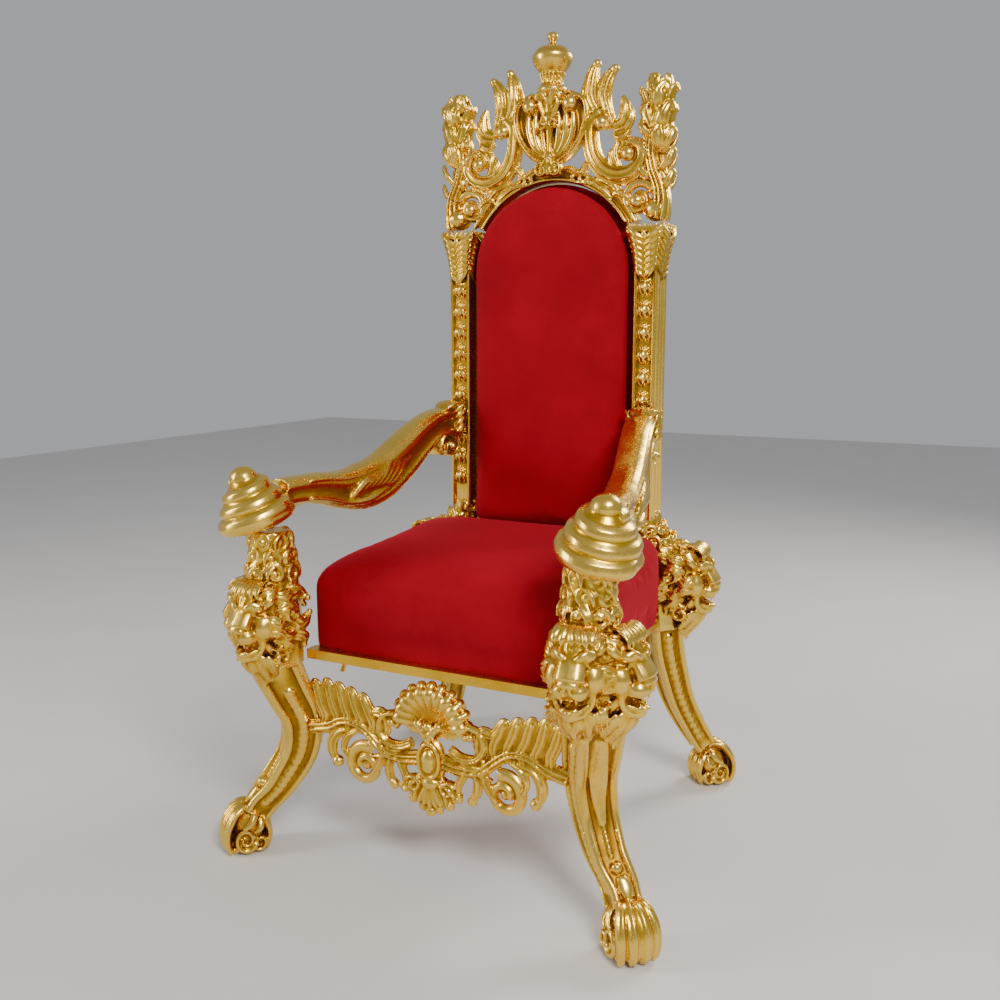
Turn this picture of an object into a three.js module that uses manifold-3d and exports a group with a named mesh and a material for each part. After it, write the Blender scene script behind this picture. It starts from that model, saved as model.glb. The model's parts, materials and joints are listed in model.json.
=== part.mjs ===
// A gilded ceremonial throne: lion-headed legs, coiled arm ends,
// an arched upholstered back and a pierced crest.
// Millimetres, +Z up, the sitter faces -Y. The origin is on the floor,
// at the middle of the throne's bounding box.
import * as THREE from "three";
import { mergeVertices } from "three/addons/utils/BufferGeometryUtils.js";
import Module from "manifold-3d";

const wasm = await Module();
wasm.setup();

// ---- Driving dimensions ----
const HEIGHT = 1800; // floor to the tip of the finial
const GAP = 0.4; // clearance between neighbouring pieces

const FRONT_POST = { x: 352, y: -366 }; // vertical axis of a front leg
const NECK_TOP = 722;
const NECK_RADIUS = 38;
const REAR_POST = { x: 272, y: 296 };
const HEAD_HEIGHT = 528; // centre of a front lion's head

const RAIL = { front: -328, back: 262, halfWidth: 300, bottom: 443, top: 463, depth: 30 };
const NOTCH = { radius: 95, at: [[360, -366],
  [302, 282]] }; // room left round each leg in the seat's corners
const SEAT = { halfWidth: 318, front: -322, back: 236, bottom: RAIL.top + GAP, edge: 622, crown: 676 };

const POST = { outer: 265, width: 54, front: 240, depth: 80, bottom: 690, top: 1262 };
const CAPITAL = { top: 1368, bandHeight: 20, spread: 17 };
const BACK = { halfWidth: 206, front: 222, thickness: 62, springing: 1262, bottom: 640 };
const ARCH_BAND = 26;

const ARM = { scrollX: 378, scrollY: -377, scrollZ: 730, backX: 245, backY: 240, width: 66 };
const SCROLL_TILT = THREE.MathUtils.degToRad(17);

const CREST_Y = 268; // middle plane of the cresting
const CREST_DEPTH = 44;
const APRON_Y = -314;

const gilt = new THREE.MeshStandardMaterial({ color: 0xc8932c, roughness: 0.3, metalness: 1 });
const velvet = new THREE.MeshStandardMaterial({ color: 0x8c0012, roughness: 0.9, metalness: 0 });

// ---- Solids ----
const V = (x, y, z) => new THREE.Vector3(x, y, z);

/** A closed three.js geometry as a manifold solid. */
function solid(geometry) {
  const bare = geometry.index ? geometry.clone() : geometry;
  for (const name of Object.keys(bare.attributes)) if (name !== "position") bare.deleteAttribute(name);
  const merged = mergeVertices(bare, 1e-3);
  return new wasm.Manifold(
    new wasm.Mesh({
      numProp: 3,
      vertProperties: new Float32Array(merged.attributes.position.array),
      triVerts: new Uint32Array(merged.index.array),
    }),
  );
}

/** The largest body of a solid, so that a cut leaves no loose crumbs. */
function largest(body) {
  return body.decompose().reduce((a, b) => (b.volume() > a.volume() ? b : a));
}

/** Joins solids into one. */
const join = (parts) => parts.reduce((a, b) => a.add(b));

/** Cuts the tools out of body, each where it is and a little to every side,
  so that a clearance is left. */
function clear(body, ...tools) {
  const ways = [[0, 0, 0], [1, 1, 1], [1, -1, -1], [-1, 1, -1],
    [-1, -1, 1]].map((way) => way.map((d) => d * GAP));
  const near = tools.filter((tool) => touching(body.boundingBox(), tool.boundingBox()));
  const cut = near.reduce((rest, tool) => ways.reduce((a, way) => a.subtract(tool.translate(way)),
    rest), body);
  return largest(cut);
}

/** Whether two boxes meet, once each has grown by the clearance. */
const touching = (a, b) => [0, 1,
  2].every((i) => a.min[i] < b.max[i] + 2 * GAP && b.min[i] < a.max[i] + 2 * GAP);

/** A named mesh of a solid. */
function mesh(name, body, material) {
  const { vertProperties, triVerts } = body.getMesh();
  const geometry = new THREE.BufferGeometry();
  geometry.setAttribute("position", new THREE.BufferAttribute(new Float32Array(vertProperties), 3));
  geometry.setIndex(new THREE.BufferAttribute(new Uint32Array(triVerts), 1));
  geometry.computeVertexNormals();
  const made = new THREE.Mesh(geometry, material);
  made.name = name;
  return made;
}

/** A box from its lowest corner to its highest corner. */
function box(lo, hi) {
  const size = hi.clone().sub(lo);
  const middle = lo.clone().add(hi).multiplyScalar(0.5);
  return solid(new THREE.BoxGeometry(size.x, size.y, size.z).translate(middle.x, middle.y, middle.z));
}

/** An ellipsoid with half-axes r about a centre. */
function egg(centre, r, around = 8, down = 6) {
  return solid(
    new THREE.SphereGeometry(1, around, down).rotateX(Math.PI / 2).scale(r.x, r.y, r.z)
      .translate(centre.x, centre.y, centre.z),
  );
}

/** A solid turned about +Z from [radius, height] pairs, the first and last of them on the axis. */
function turned(profile, sides = 16) {
  const points = profile.map(([r, z]) => new THREE.Vector2(r, z));
  return new THREE.LatheGeometry(points, sides).rotateX(Math.PI / 2);
}

/**
 * A rod bent along a curve: a closed cylinder whose rings are moved onto it. wide(t) and deep(t)
   are the half
 * sizes across the curve, deep along the given face direction and wide square to it.
 */
function rod(curve, wide, deep, face, sides = 6, steps = 8) {
  const geometry = new THREE.CylinderGeometry(1, 1, 1, sides, steps, false, Math.PI / sides);
  const place = geometry.attributes.position;
  for (let i = 0; i < place.count; i++) {
    const t = THREE.MathUtils.clamp(place.getY(i) + 0.5, 0, 1);
    const along = curve.getTangentAt(t);
    const across = V().crossVectors(face, along).normalize();
    const out = V().crossVectors(along, across).normalize();
    const p = curve.getPointAt(t)
      .addScaledVector(across, place.getX(i) * wide(t))
      .addScaledVector(out, place.getZ(i) * deep(t));
    place.setXYZ(i, p.x, p.y, p.z);
  }
  const made = solid(geometry);
  return made.volume() > 0 ? made : solid(flipped(geometry));
}

/** The same faces, turned to look the other way. */
function flipped(geometry) {
  const index = geometry.index.array;
  for (let i = 0; i < index.length; i += 3) [index[i + 1], index[i + 2]] = [index[i + 2], index[i + 1]];
  return geometry;
}

const through = (...points) => new THREE.CatmullRomCurve3(points.map((p) => V(...p)),
  false, "centripetal");
const leafWidth = (size,
  tip = 0.2) => (t) => size * (tip + (1 - tip) * Math.sin(Math.PI * (0.12 + 0.8 * t)));
const taper = (from, to) => (t) => THREE.MathUtils.lerp(from, to, t);

/** A leaf or lock of hair: a flat rod that swells and then narrows to its tip. */
const leaf = (points, width, depth, face, sides = 5, steps = 5) =>
  rod(through(...points), leafWidth(width), leafWidth(depth, 0.35), face, sides, steps);

/** The curve of a volute in the XZ plane: it winds from its outer radius in to its eye. */
function volute(centre, outer, inner, from, turns, hand = 1) {
  const points = [];
  const count = Math.round(turns * 8);
  for (let i = 0; i <= count; i++) {
    const angle = from + hand * (i / count) * turns * 2 * Math.PI;
    const r = outer + (inner - outer) * (i / count);
    points.push([centre.x + r * Math.cos(angle), centre.y, centre.z + r * Math.sin(angle)]);
  }
  return points;
}

/** Turns a solid about +Z and then moves it. */
const placed = (body, turn, at) => body.rotate([0, 0,
  THREE.MathUtils.radToDeg(turn)]).translate([at.x, at.y, at.z]);

/**
 * An ellipsoid with half-axes r, pushed out or in about chosen directions: each bump is
 * [x, y, z of its direction, amount, angular width].
 */
function lump(r, bumps, around = 14, down = 10) {
  const geometry = new THREE.SphereGeometry(1, around, down).rotateX(Math.PI / 2);
  const place = geometry.attributes.position;
  const way = V();
  for (let i = 0; i < place.count; i++) {
    way.fromBufferAttribute(place, i).normalize();
    let push = 0;
    for (const [x, y, z, amount, width] of bumps)
      push += amount * Math.exp(-((way.angleTo(V(x, y, z)) / width) ** 2));
    place.setXYZ(i, way.x * (r.x + push), way.y * (r.y + push), way.z * (r.z + push));
  }
  return solid(geometry);
}

// ---- Lion's head: built about the origin, facing -Y ----
const FACE = V(0, -1, 0);
const paired = (x, y, z, amount, width) => [-1, 1].map((s) => [s * x, y, z, amount, width]);

/** The locks of the mane stand out round the face, one bump each. */
function maneBumps(count = 9) {
  const bumps = [];
  for (let i = 0; i < count; i++) {
    const angle = (2 * Math.PI * (i + 0.5)) / count + Math.PI / 2;
    bumps.push([Math.cos(angle), -0.45, Math.sin(angle), 17, 0.3]);
    bumps.push([Math.cos(angle + 0.35), 0.2, Math.sin(angle + 0.35), 10, 0.3]);
  }
  return bumps;
}

const HEAD = lump(V(60, 62, 92), [
  ...maneBumps(),
  [0, -1, 0.02, 56, 0.34], // nose and muzzle
  ...paired(0.22, -1, -0.16, 20, 0.2), // whisker pads
  ...paired(0.34, -1, 0.4, 13, 0.24), // brows
  ...paired(0.42, -1, 0.12, -7, 0.2), // eyes
  [0, -1, -0.42, -16, 0.18], // open mouth
  [0, -1, -0.72, 22, 0.24], // chin
], 14, 11);

// ---- Feet: a paw that rolls into volutes, the toes towards -Y ----
function foot() {
  const whole = lump(V(54, 56, 58), [
    ...[-1, 0, 1].map((i) => [i * 0.55, -0.9, -0.1, 15, 0.28]), // toes
    ...paired(1, 0.25, -0.25, 18, 0.4), // rolls
    [0, 1, -0.3, 14, 0.4], // heel
    ...paired(0.8, -0.15, 0.6, 8, 0.3),
  ], 14, 8);
  return whole.translate([0, 0, 46]).subtract(box(V(-200, -200, -200), V(200, 200, 0)));
}

// ---- Legs: each is carved from one block, with its lions and its paw ----
/** A paw whose toes point in a direction, an angle from +X. */
const footAt = (x, y, toes) => placed(foot(), toes + Math.PI / 2, V(x, y, 0));

function frontLeg() {
  const { x, y } = FRONT_POST;
  const shank = rod(
    through([x + 10, y + 10, 440], [x - 2, y + 34, 372], [x - 14, y + 58, 300],
      [x - 6, y + 62, 232], [x + 24, y + 44, 166], [x + 62, y + 24, 108], [x + 80, y + 6, 74]),
    taper(70, 40), taper(70, 40), V(1, 1, 0).normalize(), 4, 8);
  const neck = rod(
    through([x + 4, y, NECK_TOP - GAP], [x + 2, y, 670], [x, y + 4, 600], [x, y + 6, 520]),
    (t) => NECK_RADIUS + 10 + 16 * t * t, (t) => NECK_RADIUS + 10 + 16 * t * t, FACE, 9, 3);
  return join([
    shank, neck,
    placed(HEAD, THREE.MathUtils.degToRad(6), V(x - 2, y - 12, HEAD_HEIGHT)),
    placed(HEAD, THREE.MathUtils.degToRad(84), V(x + 8, y + 14, HEAD_HEIGHT - 8)),
    footAt(x + 91, y - 6, -Math.PI / 4),
  ]);
}

function rearLeg() {
  const { x, y } = REAR_POST;
  const shank = rod(
    through([x + 10, y - 4, 520], [x + 14, y + 4, 400], [x + 26, y + 26, 310],
      [x + 42, y + 46, 235], [x + 72, y + 82, 150], [x + 92, y + 110, 96]),
    taper(62, 36), taper(62, 36), V(1, -1, 0).normalize(), 4, 7);
  const flare = rod(
    through([POST.outer - POST.width / 2, POST.front + POST.depth / 2, POST.bottom - GAP],
      [x - 24, y - 14, 650], [x - 4, y - 12, 590], [x + 10, y - 8, 520]),
    taper(38, 66), taper(50, 66), FACE, 8, 3);
  return join([
    shank, flare,
    placed(HEAD, THREE.MathUtils.degToRad(90), V(x + 30, y - 18, HEAD_HEIGHT + 20)),
    footAt(x + 106, y + 130, Math.PI / 4),
  ]);
}

// ---- Arms: a broad S from the back post to a coil like a beehive ----
function armEnd() {
  const profile = [
    [0, 0], [58, 0], [87, 14], [73, 40], [79, 54], [62, 69], [65, 80], [44, 96], [44, 105],
      [24, 118], [0, 138],
  ];
  const tilt = THREE.MathUtils.radToDeg(SCROLL_TILT) * Math.SQRT1_2;
  return solid(turned(profile, 12)).rotate([tilt, tilt, 0]);
}

/** A point of the arm: a distance back from the coil, an offset to the outer side and a height. */
function armPoint(back, outwards, z) {
  const along = V(ARM.backX - ARM.scrollX, ARM.backY - ARM.scrollY, 0).normalize();
  return [ARM.scrollX + back * along.x + outwards * along.y,
    ARM.scrollY + back * along.y - outwards * along.x, z];
}

function arm() {
  const length = Math.hypot(ARM.backX - ARM.scrollX, ARM.backY - ARM.scrollY);
  // Side outline: [distance back from the coil, height]
  const top = [[30, 816], [120, 822], [220, 819], [296, 832], [358, 852], [424, 889], [490, 920],
    [560, 935], [length + 8, 938]];
  const under = [[length + 8, 858], [590, 822], [548, 818], [500, 832], [424, 776], [358, 738],
    [296, 722], [220, 736], [150, 752], [30, 762]];
  const outline = new THREE.Shape([...top, ...under].map(([s, z]) => new THREE.Vector2(s, z)));
  const slab = new THREE.ExtrudeGeometry(outline, {
    depth: ARM.width - 24, steps: 1, bevelEnabled: true, bevelThickness: 12, bevelSize: 10,
      bevelOffset: -10, bevelSegments: 1,
  }).translate(0, 0, 12 - ARM.width / 2).rotateX(Math.PI / 2);
  const turn = Math.atan2(ARM.backY - ARM.scrollY, ARM.backX - ARM.scrollX);
  const eye = V(...armPoint(572, 0, 848));
  const roll = new THREE.CylinderGeometry(34, 34, ARM.width + 8, 9).rotateZ(Math.PI / 2);
  const half = ARM.width / 2;
  const leaves = [-1, 1].flatMap((side) => [0, 1].map((i) =>
    leaf([armPoint(250 + 24 * i, side * (half - 4), 758 + 26 * i),
      armPoint(300 + 20 * i, side * (half + 3), 776 + 30 * i),
        armPoint(380 + 26 * i, side * (half - 4), 816 + 32 * i)],
      20, 10, V(side, 0, 0), 4, 2)));
  return join([
    placed(solid(slab), turn, V(ARM.scrollX, ARM.scrollY, 0)),
    placed(solid(roll), turn - Math.PI / 2, eye),
    ...leaves,
    lump(V(34, 34, 40), [[1, -0.6, 0.4, 8, 0.4],
      [1, -0.6, -0.6, 8, 0.4]], 7, 5).translate([ARM.backX, ARM.backY - 24, 914]),
    armEnd().translate([ARM.scrollX - 3, ARM.scrollY + 2, ARM.scrollZ]),
  ]).subtract(box(V(0, POST.front - GAP, 0), V(900, 900, 1200)));
}

// ---- Back posts ----
function backPost() {
  const { outer, width, front, depth, bottom, top } = POST;
  const inner = outer - width;
  const shaft = box(V(inner, front, bottom), V(outer, front + depth, top + 4));
  const sunk = box(V(inner + 11, front - 5, bottom + 30), V(outer - 9, front + 6, top - 30));
  const flutes = [1, 2].map((i) => {
    const y = front + (i * depth) / 3;
    return box(V(outer - 4, y - 6, bottom + 30), V(outer + 5, y + 6, top - 30));
  });
  const x = outer - width / 2;
  const y = front + depth / 2;
  const drops = 9;
  const husks = Array.from({ length: drops }, (_,
    i) => bottom + 60 + (i * (top - bottom - 110)) / (drops - 1))
    .filter((z) => Math.abs(z - 900) > 70) // the arm covers these
    .map((z) => egg(V(x + 1, front + 4, z), V(12, 10, 20), 4, 2));
  const flare = new THREE.CylinderGeometry(1, 0.72, 1, 4, 1, false, Math.PI / 4).rotateX(Math.PI / 2)
    .scale((width / 2 + CAPITAL.spread - 4) * Math.SQRT2,
      (depth / 2 + CAPITAL.spread - 10) * Math.SQRT2, CAPITAL.top - top)
    .translate(x, y, (CAPITAL.top + top) / 2 - 2);
  const half = V(width / 2 + CAPITAL.spread, depth / 2 + CAPITAL.spread - 6, 0);
  const band = box(V(x - half.x, y - half.y, CAPITAL.top - CAPITAL.bandHeight),
    V(x + half.x, y + half.y, CAPITAL.top));
  const leaves = [-1, 1].map((s) =>
    leaf([[x, front - 1, top - 22], [x + s * 16, front - 5, top + 16],
      [x + s * 30, front - 9, top + 66]], 12, 8, FACE, 4, 3));
  return join([shaft.subtract(sunk).subtract(join(flutes)), ...husks, solid(flare), band, ...leaves]);
}

// ---- Upholstery ----
/** A rounded panel outline with an arched head, in x and z. */
function archShape(halfWidth, bottom, springing, corner = 0) {
  const shape = new THREE.Shape();
  shape.moveTo(-halfWidth + corner, bottom);
  shape.lineTo(halfWidth - corner, bottom);
  shape.lineTo(halfWidth, bottom + corner);
  shape.lineTo(halfWidth, springing);
  shape.absarc(0, springing, halfWidth, 0, Math.PI, false);
  shape.lineTo(-halfWidth, bottom + corner);
  return shape;
}

/** Stands an extruded outline up: its face looks along -Y and its back lies at y. */
function upright(shape, y, depth, options = {}) {
  return solid(new THREE.ExtrudeGeometry(shape, { depth, bevelEnabled: false, curveSegments: 16,
    ...options })
    .rotateX(Math.PI / 2).translate(0, y, 0));
}

function backCushion() {
  return upright(archShape(BACK.halfWidth - 16, BACK.bottom + 16, BACK.springing),
    BACK.front + BACK.thickness - 30, BACK.thickness - 34, {
    bevelEnabled: true, bevelThickness: 16, bevelSize: 15, bevelSegments: 1, curveSegments: 12,
  });
}

function seatCushion() {
  const { halfWidth, front, back, bottom, edge, crown } = SEAT;
  const block = new THREE.BoxGeometry(2 * halfWidth, back - front, 1, 6, 6, 2);
  const place = block.attributes.position;
  for (let i = 0; i < place.count; i++) {
    const u = place.getX(i) / halfWidth;
    const v = (2 * place.getY(i)) / (back - front);
    const level = place.getZ(i) + 0.5;
    const swell = (1 - u * u) * (1 - v * v);
    const round = level > 0.9 ? 0.955 : 1;
    const height = bottom + (edge - bottom) * level + (crown - edge + 8) *
      Math.sqrt(Math.max(swell, 0)) * level;
    place.setXYZ(i, u * halfWidth * round, (front + back) / 2 + (v * (back - front) * round) / 2, height);
  }
  const notches = NOTCH.at.flatMap(([x, y]) => [-1, 1].map((side) => {
    const notch = new THREE.CylinderGeometry(NOTCH.radius, NOTCH.radius, 400, 10, 1).rotateX(Math.PI / 2);
    return solid(notch).translate([side * x, y, 560]);
  }));
  return largest(solid(block).subtract(join(notches)));
}

// ---- Crest ----
/** An acanthus scroll of the crest, right hand: a tall S with a volute and a ball at each end,
  and feathers. */
function crestScroll() {
  const y = CREST_Y - 6;
  const stem = through(
    [150, y, 1592], [140, y, 1618], [108, y, 1600], [98, y, 1550], [116, y, 1498], [168, y, 1474],
      [214, y, 1496], [216, y, 1534], [186, y, 1540]);
  const feathers = [0, 1].map((i) =>
    leaf([[126 + 14 * i, y, 1618 - 6 * i], [112 + 20 * i, y - 6, 1664 - 6 * i],
      [110 + 30 * i, y - 4, 1722 - 20 * i]], 15, 20, FACE, 4, 3));
  return [
    rod(stem, (t) => 15 + 6 * Math.sin(Math.PI * t), () => CREST_DEPTH / 2, FACE, 4, 11),
    ...feathers,
    egg(V(125, y - 16, 1586), V(18, 18, 18), 6, 3),
    egg(V(187, y - 16, 1516), V(18, 18, 18), 6, 3),
    leaf([[132, y, 1594], [176, y - 4, 1592], [170, y - 4, 1640]], 17, 16, FACE, 4, 3),
  ];
}

/** The fluted shield at the middle of the crest. */
function crestShield() {
  const y = CREST_Y - 10;
  const outline = new THREE.Shape();
  outline.moveTo(0, 1506);
  outline.bezierCurveTo(36, 1520, 84, 1556, 88, 1612);
  outline.bezierCurveTo(90, 1652, 60, 1664, 34, 1650);
  outline.lineTo(-34, 1650);
  outline.bezierCurveTo(-60, 1664, -90, 1652, -88, 1612);
  outline.bezierCurveTo(-84, 1556, -36, 1520, 0, 1506);
  const plate = upright(outline, y + 22, 34, { curveSegments: 4 });
  const ribs = [-1, 1].map((i) => leaf([[0, y - 14, 1516], [i * 40, y - 24, 1566],
    [i * 44, y - 16, 1640]], 15, 12, FACE, 4, 3));
  const stem = rod(through([0, y - 26, 1500], [0, y - 32, 1580],
    [0, y - 24, 1656]), (t) => 10 + 12 * t * t, taper(14, 18), FACE, 5, 2);
  const balls = [-1, 1].map((s) => egg(V(s * 50, y - 26, 1634), V(20, 20, 20), 6, 3));
  const knot = egg(V(0, y - 20, 1496), V(32, 24, 26), 7, 4);
  return [plate, ...ribs, stem, ...balls, knot];
}

/** The arched rail over the upholstery, with the spandrels that carry the scrolls. */
function archRail() {
  const y = BACK.front + BACK.thickness + 16;
  const outer = new THREE.Shape();
  const r = BACK.halfWidth + ARCH_BAND;
  const foot = CAPITAL.top + 2;
  const open = BACK.halfWidth + 2;
  const angleOut = Math.asin((foot - BACK.springing) / r);
  const angleIn = Math.asin((foot - BACK.springing) / open);
  outer.absarc(0, BACK.springing, r, angleOut, Math.PI - angleOut, false);
  outer.absarc(0, BACK.springing, open, Math.PI - angleIn, angleIn, true);
  return upright(outer, y, 64, { curveSegments: 14 });
}

function crest() {
  const mirrored = (parts) => {
    const right = join(parts);
    return [right, right.mirror([1, 0, 0])];
  };
  const corner = leaf([[112, CREST_Y, 1482], [146, CREST_Y - 10, 1456],
    [184, CREST_Y - 14, 1420]], 22, 20, FACE, 4, 2);
  return join([archRail(), ...mirrored([...crestScroll(), corner]), ...crestShield()]);
}

/** A corner plume, right hand: a gathered acanthus that rises from a volute on the capital. */
function plume() {
  const y = CREST_Y + 6;
  const stem = through([262, y, 1380], [262, y, 1430], [240, y, 1490], [238, y, 1540], [258, y, 1600]);
  const curl = volute({ x: 214, y: y - 8, z: 1424 }, 38, 16, -0.2 * Math.PI, 1, 1);
  const crown = lump(V(36, 32, 60), [
    ...[-1, 0, 1].map((i) => [i * 0.5, -0.2, 1, 22, 0.24]), // leaf tips
    [1, -0.3, 0.2, 12, 0.3], [-1, -0.3, 0.3, 12, 0.3], [0.2, -1, 0.1, 10, 0.3], [1, 0.4, -0.4, 10, 0.3],
  ], 10, 7);
  const side = [0, 1].map((i) =>
    leaf([[262, y + 4, 1440 + 60 * i], [284, y + 8, 1480 + 60 * i],
      [288, y + 8, 1524 + 58 * i]], 18, 22, V(1, 0, 0), 4, 2));
  return join([
    rod(through(...curl), taper(15, 10), taper(24, 16), FACE, 4, 7),
    rod(stem, (t) => 30 - 26 * t * (1 - t), (t) => 38 - 18 * t, FACE, 6, 5),
    egg(V(214, y - 22, 1424), V(18, 18, 18), 6, 3),
    crown.translate([256, y, 1606]),
    ...side,
  ]).subtract(box(V(0, -900, 0), V(900, 900, CAPITAL.top + GAP)));
}

function urn() {
  const base = 1664;
  const profile = [
    [0, 0], [30, 0], [34, 8], [30, 17], [23, 24], [25, 40], [40, 62], [47, 78], [41, 87],
      [34, 96], [10, 109], [7, 115],
    [13, 124], [0, HEIGHT - base],
  ];
  return solid(turned(profile, 12)).translate([0, CREST_Y - 12, base]);
}

// ---- Aprons ----
function frontApron() {
  const y = APRON_Y;
  const scallop = new THREE.Shape();
  const lobes = 9; // the outline dips between them
  const steps = 18;
  for (let i = 0; i <= steps; i++) {
    const angle = (Math.PI * i) / steps;
    const r = 84 + 8 * Math.abs(Math.sin(lobes * angle));
    const at = [r * Math.cos(angle), 344 + r * Math.sin(angle) * 0.94];
    if (i) scallop.lineTo(...at);
    else scallop.moveTo(...at);
  }
  scallop.lineTo(-40, 300);
  scallop.lineTo(40, 300);
  const half = [
    rod(through([20, y, 262], [90, y, 262], [130, y, 290], [180, y, 318], [230, y, 300],
      [300, y, 288]), (t) => 24 - 8 * Math.sin(Math.PI * t), () => 20, FACE, 4, 7),
    rod(through(...volute({ x: 164, y: y - 4, z: 228 }, 40, 14, Math.PI * 0.6, 1.1, 1)),
      taper(18, 12), taper(20, 16), FACE, 4, 8),
    ...[0, 1, 2].map((i) =>
      leaf([[126 + 44 * i, y, 298], [136 + 44 * i, y - 8, 340],
        [160 + 42 * i, y - 10, 384 + 7 * i]], 20, 15, FACE, 4, 2)),
    leaf([[200, y, 296], [240, y - 6, 270], [240, y - 8, 214]], 20, 16, FACE, 4, 3),
    leaf([[60, y, 262], [84, y - 6, 230], [82, y - 8, 188]], 17, 14, FACE, 4, 2),
    egg(V(84, y - 12, 338), V(26, 20, 26), 6, 4),
    leaf([[14, y, 262], [42, y - 8, 226], [34, y - 8, 178]], 20, 15, FACE, 4, 2),
  ];
  const right = join(half);
  return join([
    upright(scallop, y + 14, 30), right, right.mirror([1, 0, 0]),
    egg(V(0, y - 22, 338), V(34, 18, 20), 6, 4),
    egg(V(0, y - 10, 262), V(46, 28, 64), 8, 5),
    egg(V(0, y - 8, 170), V(34, 20, 24), 7, 4),
  ]);
}

/** A low scrolled apron below a side or back rail, drawn along X about the origin. */
function plainApron(length) {
  const half = length / 2;
  const right = join([
    rod(through([0, 0, 420], [half * 0.5, 0, 402],
      [half, 0, 420]), (t) => 16 - 4 * t, () => 12, FACE, 4, 3),
    egg(V(half * 0.5, -2, 394), V(26, 13, 24), 6, 3),
    leaf([[half * 0.6, 0, 414], [half * 0.78, -2, 396], [half * 0.92, -2, 376]], 15, 11, FACE, 4, 1),
  ]);
  return join([right, right.mirror([1, 0, 0]), egg(V(0, -2, 404), V(34, 15, 36), 6, 3)])
    .subtract(box(V(-900, -200, RAIL.bottom - GAP), V(900, 200, 900)));
}

// ---- Assembly ----
const throne = new THREE.Group();
const mirror = (body) => body.mirror([1, 0, 0]);
const both = (right) => [right, mirror(right)];

const legs = { front: frontLeg(), rear: rearLeg() };
const post = clear(backPost(), legs.rear);
const armRight = arm();
legs.front = clear(legs.front, armRight);
const allLegs = [...both(legs.front), ...both(legs.rear)];

const rails = {
  seat_rail_front: box(V(-RAIL.halfWidth, RAIL.front, RAIL.bottom),
    V(RAIL.halfWidth, RAIL.front + RAIL.depth, RAIL.top)),
  seat_rail_back: box(V(-RAIL.halfWidth + 40, RAIL.back - RAIL.depth, RAIL.bottom),
    V(RAIL.halfWidth - 40, RAIL.back, RAIL.top)),
};
const sideRail = box(V(RAIL.halfWidth - 34, RAIL.front + RAIL.depth + GAP, RAIL.bottom),
  V(RAIL.halfWidth - 4, RAIL.back - RAIL.depth - GAP, RAIL.top));

const crestWhole = crest();
const urnWhole = clear(urn(), crestWhole);
const plumeRight = clear(plume(), post, crestWhole);
const cushion = clear(seatCushion(), ...both(post));
const backPad = clear(backCushion(), cushion, ...both(post));
const backBoard = clear(
  upright(archShape(BACK.halfWidth - 1, BACK.bottom - 60, BACK.springing),
    BACK.front + BACK.thickness + 14, 12, { curveSegments: 14 }),
  backPad, crestWhole, ...allLegs);

throne.add(mesh("seat_cushion", cushion, velvet));
throne.add(mesh("back_cushion", backPad, velvet));
throne.add(mesh("back_board", backBoard, velvet));
throne.add(mesh("crest", crestWhole, gilt));
throne.add(mesh("urn_finial", urnWhole, gilt));
for (const [name, rail] of Object.entries(rails)) throne.add(mesh(name, clear(rail, ...allLegs), gilt));
throne.add(mesh("apron_front", clear(frontApron(), ...allLegs, rails.seat_rail_front), gilt));
throne.add(mesh("apron_back", clear(plainApron(440).translate([0, RAIL.back - RAIL.depth / 2, 0]),
  ...allLegs), gilt));

const sides = {
  front_leg: legs.front,
  rear_leg: legs.rear,
  arm: armRight,
  back_post: post,
  plume: plumeRight,
  seat_rail: clear(sideRail, ...allLegs),
  apron: clear(plainApron(430).rotate([0, 0, 90]).translate([RAIL.halfWidth - 19,
    (RAIL.front + RAIL.back) / 2, 0]), ...allLegs),
};
for (const [name, body] of Object.entries(sides)) {
  throne.add(mesh(`${name}_right`, body, gilt));
  throne.add(mesh(`${name}_left`, mirror(body), gilt));
}

// The origin goes to the middle of the bounding box, on the floor.
const bounds = new THREE.Box3().setFromObject(throne);
throne.position.set(0, -(bounds.min.y + bounds.max.y) / 2, 0);

export default throne;
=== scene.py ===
# %% [markdown]
# # A carved and gilded lion throne
#
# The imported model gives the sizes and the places. Here each plain solid gets a carved piece that keeps its form: locks of
# hair, leaves, volutes and beads are made one by one, joined, and then melted into one skin by a voxel remesh, which
# rounds every meeting of two forms as gesso and gold leaf do on real carved wood.

# %% The frame, and a clean start
import json
import math

import bpy
import numpy as np
from mathutils import Matrix, Vector

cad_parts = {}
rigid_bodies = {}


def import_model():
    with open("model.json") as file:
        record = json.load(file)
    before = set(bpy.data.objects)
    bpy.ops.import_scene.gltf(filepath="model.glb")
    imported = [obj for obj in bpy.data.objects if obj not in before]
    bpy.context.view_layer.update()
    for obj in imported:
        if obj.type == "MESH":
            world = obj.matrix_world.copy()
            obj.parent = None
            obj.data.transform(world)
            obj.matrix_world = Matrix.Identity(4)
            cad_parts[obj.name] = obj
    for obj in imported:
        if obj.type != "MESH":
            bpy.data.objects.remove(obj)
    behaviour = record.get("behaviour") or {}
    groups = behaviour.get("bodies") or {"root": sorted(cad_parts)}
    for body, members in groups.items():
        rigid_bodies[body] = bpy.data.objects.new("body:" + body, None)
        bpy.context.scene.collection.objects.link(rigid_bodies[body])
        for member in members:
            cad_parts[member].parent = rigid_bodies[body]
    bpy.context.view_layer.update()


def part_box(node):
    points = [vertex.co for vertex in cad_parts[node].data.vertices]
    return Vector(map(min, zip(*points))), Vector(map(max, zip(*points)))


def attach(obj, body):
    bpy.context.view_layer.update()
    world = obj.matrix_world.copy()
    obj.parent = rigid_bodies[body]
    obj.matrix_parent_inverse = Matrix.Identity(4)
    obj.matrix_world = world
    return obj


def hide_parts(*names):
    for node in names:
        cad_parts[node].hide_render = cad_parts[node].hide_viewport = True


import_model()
bpy.ops.object.select_all(action="DESELECT")

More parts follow.
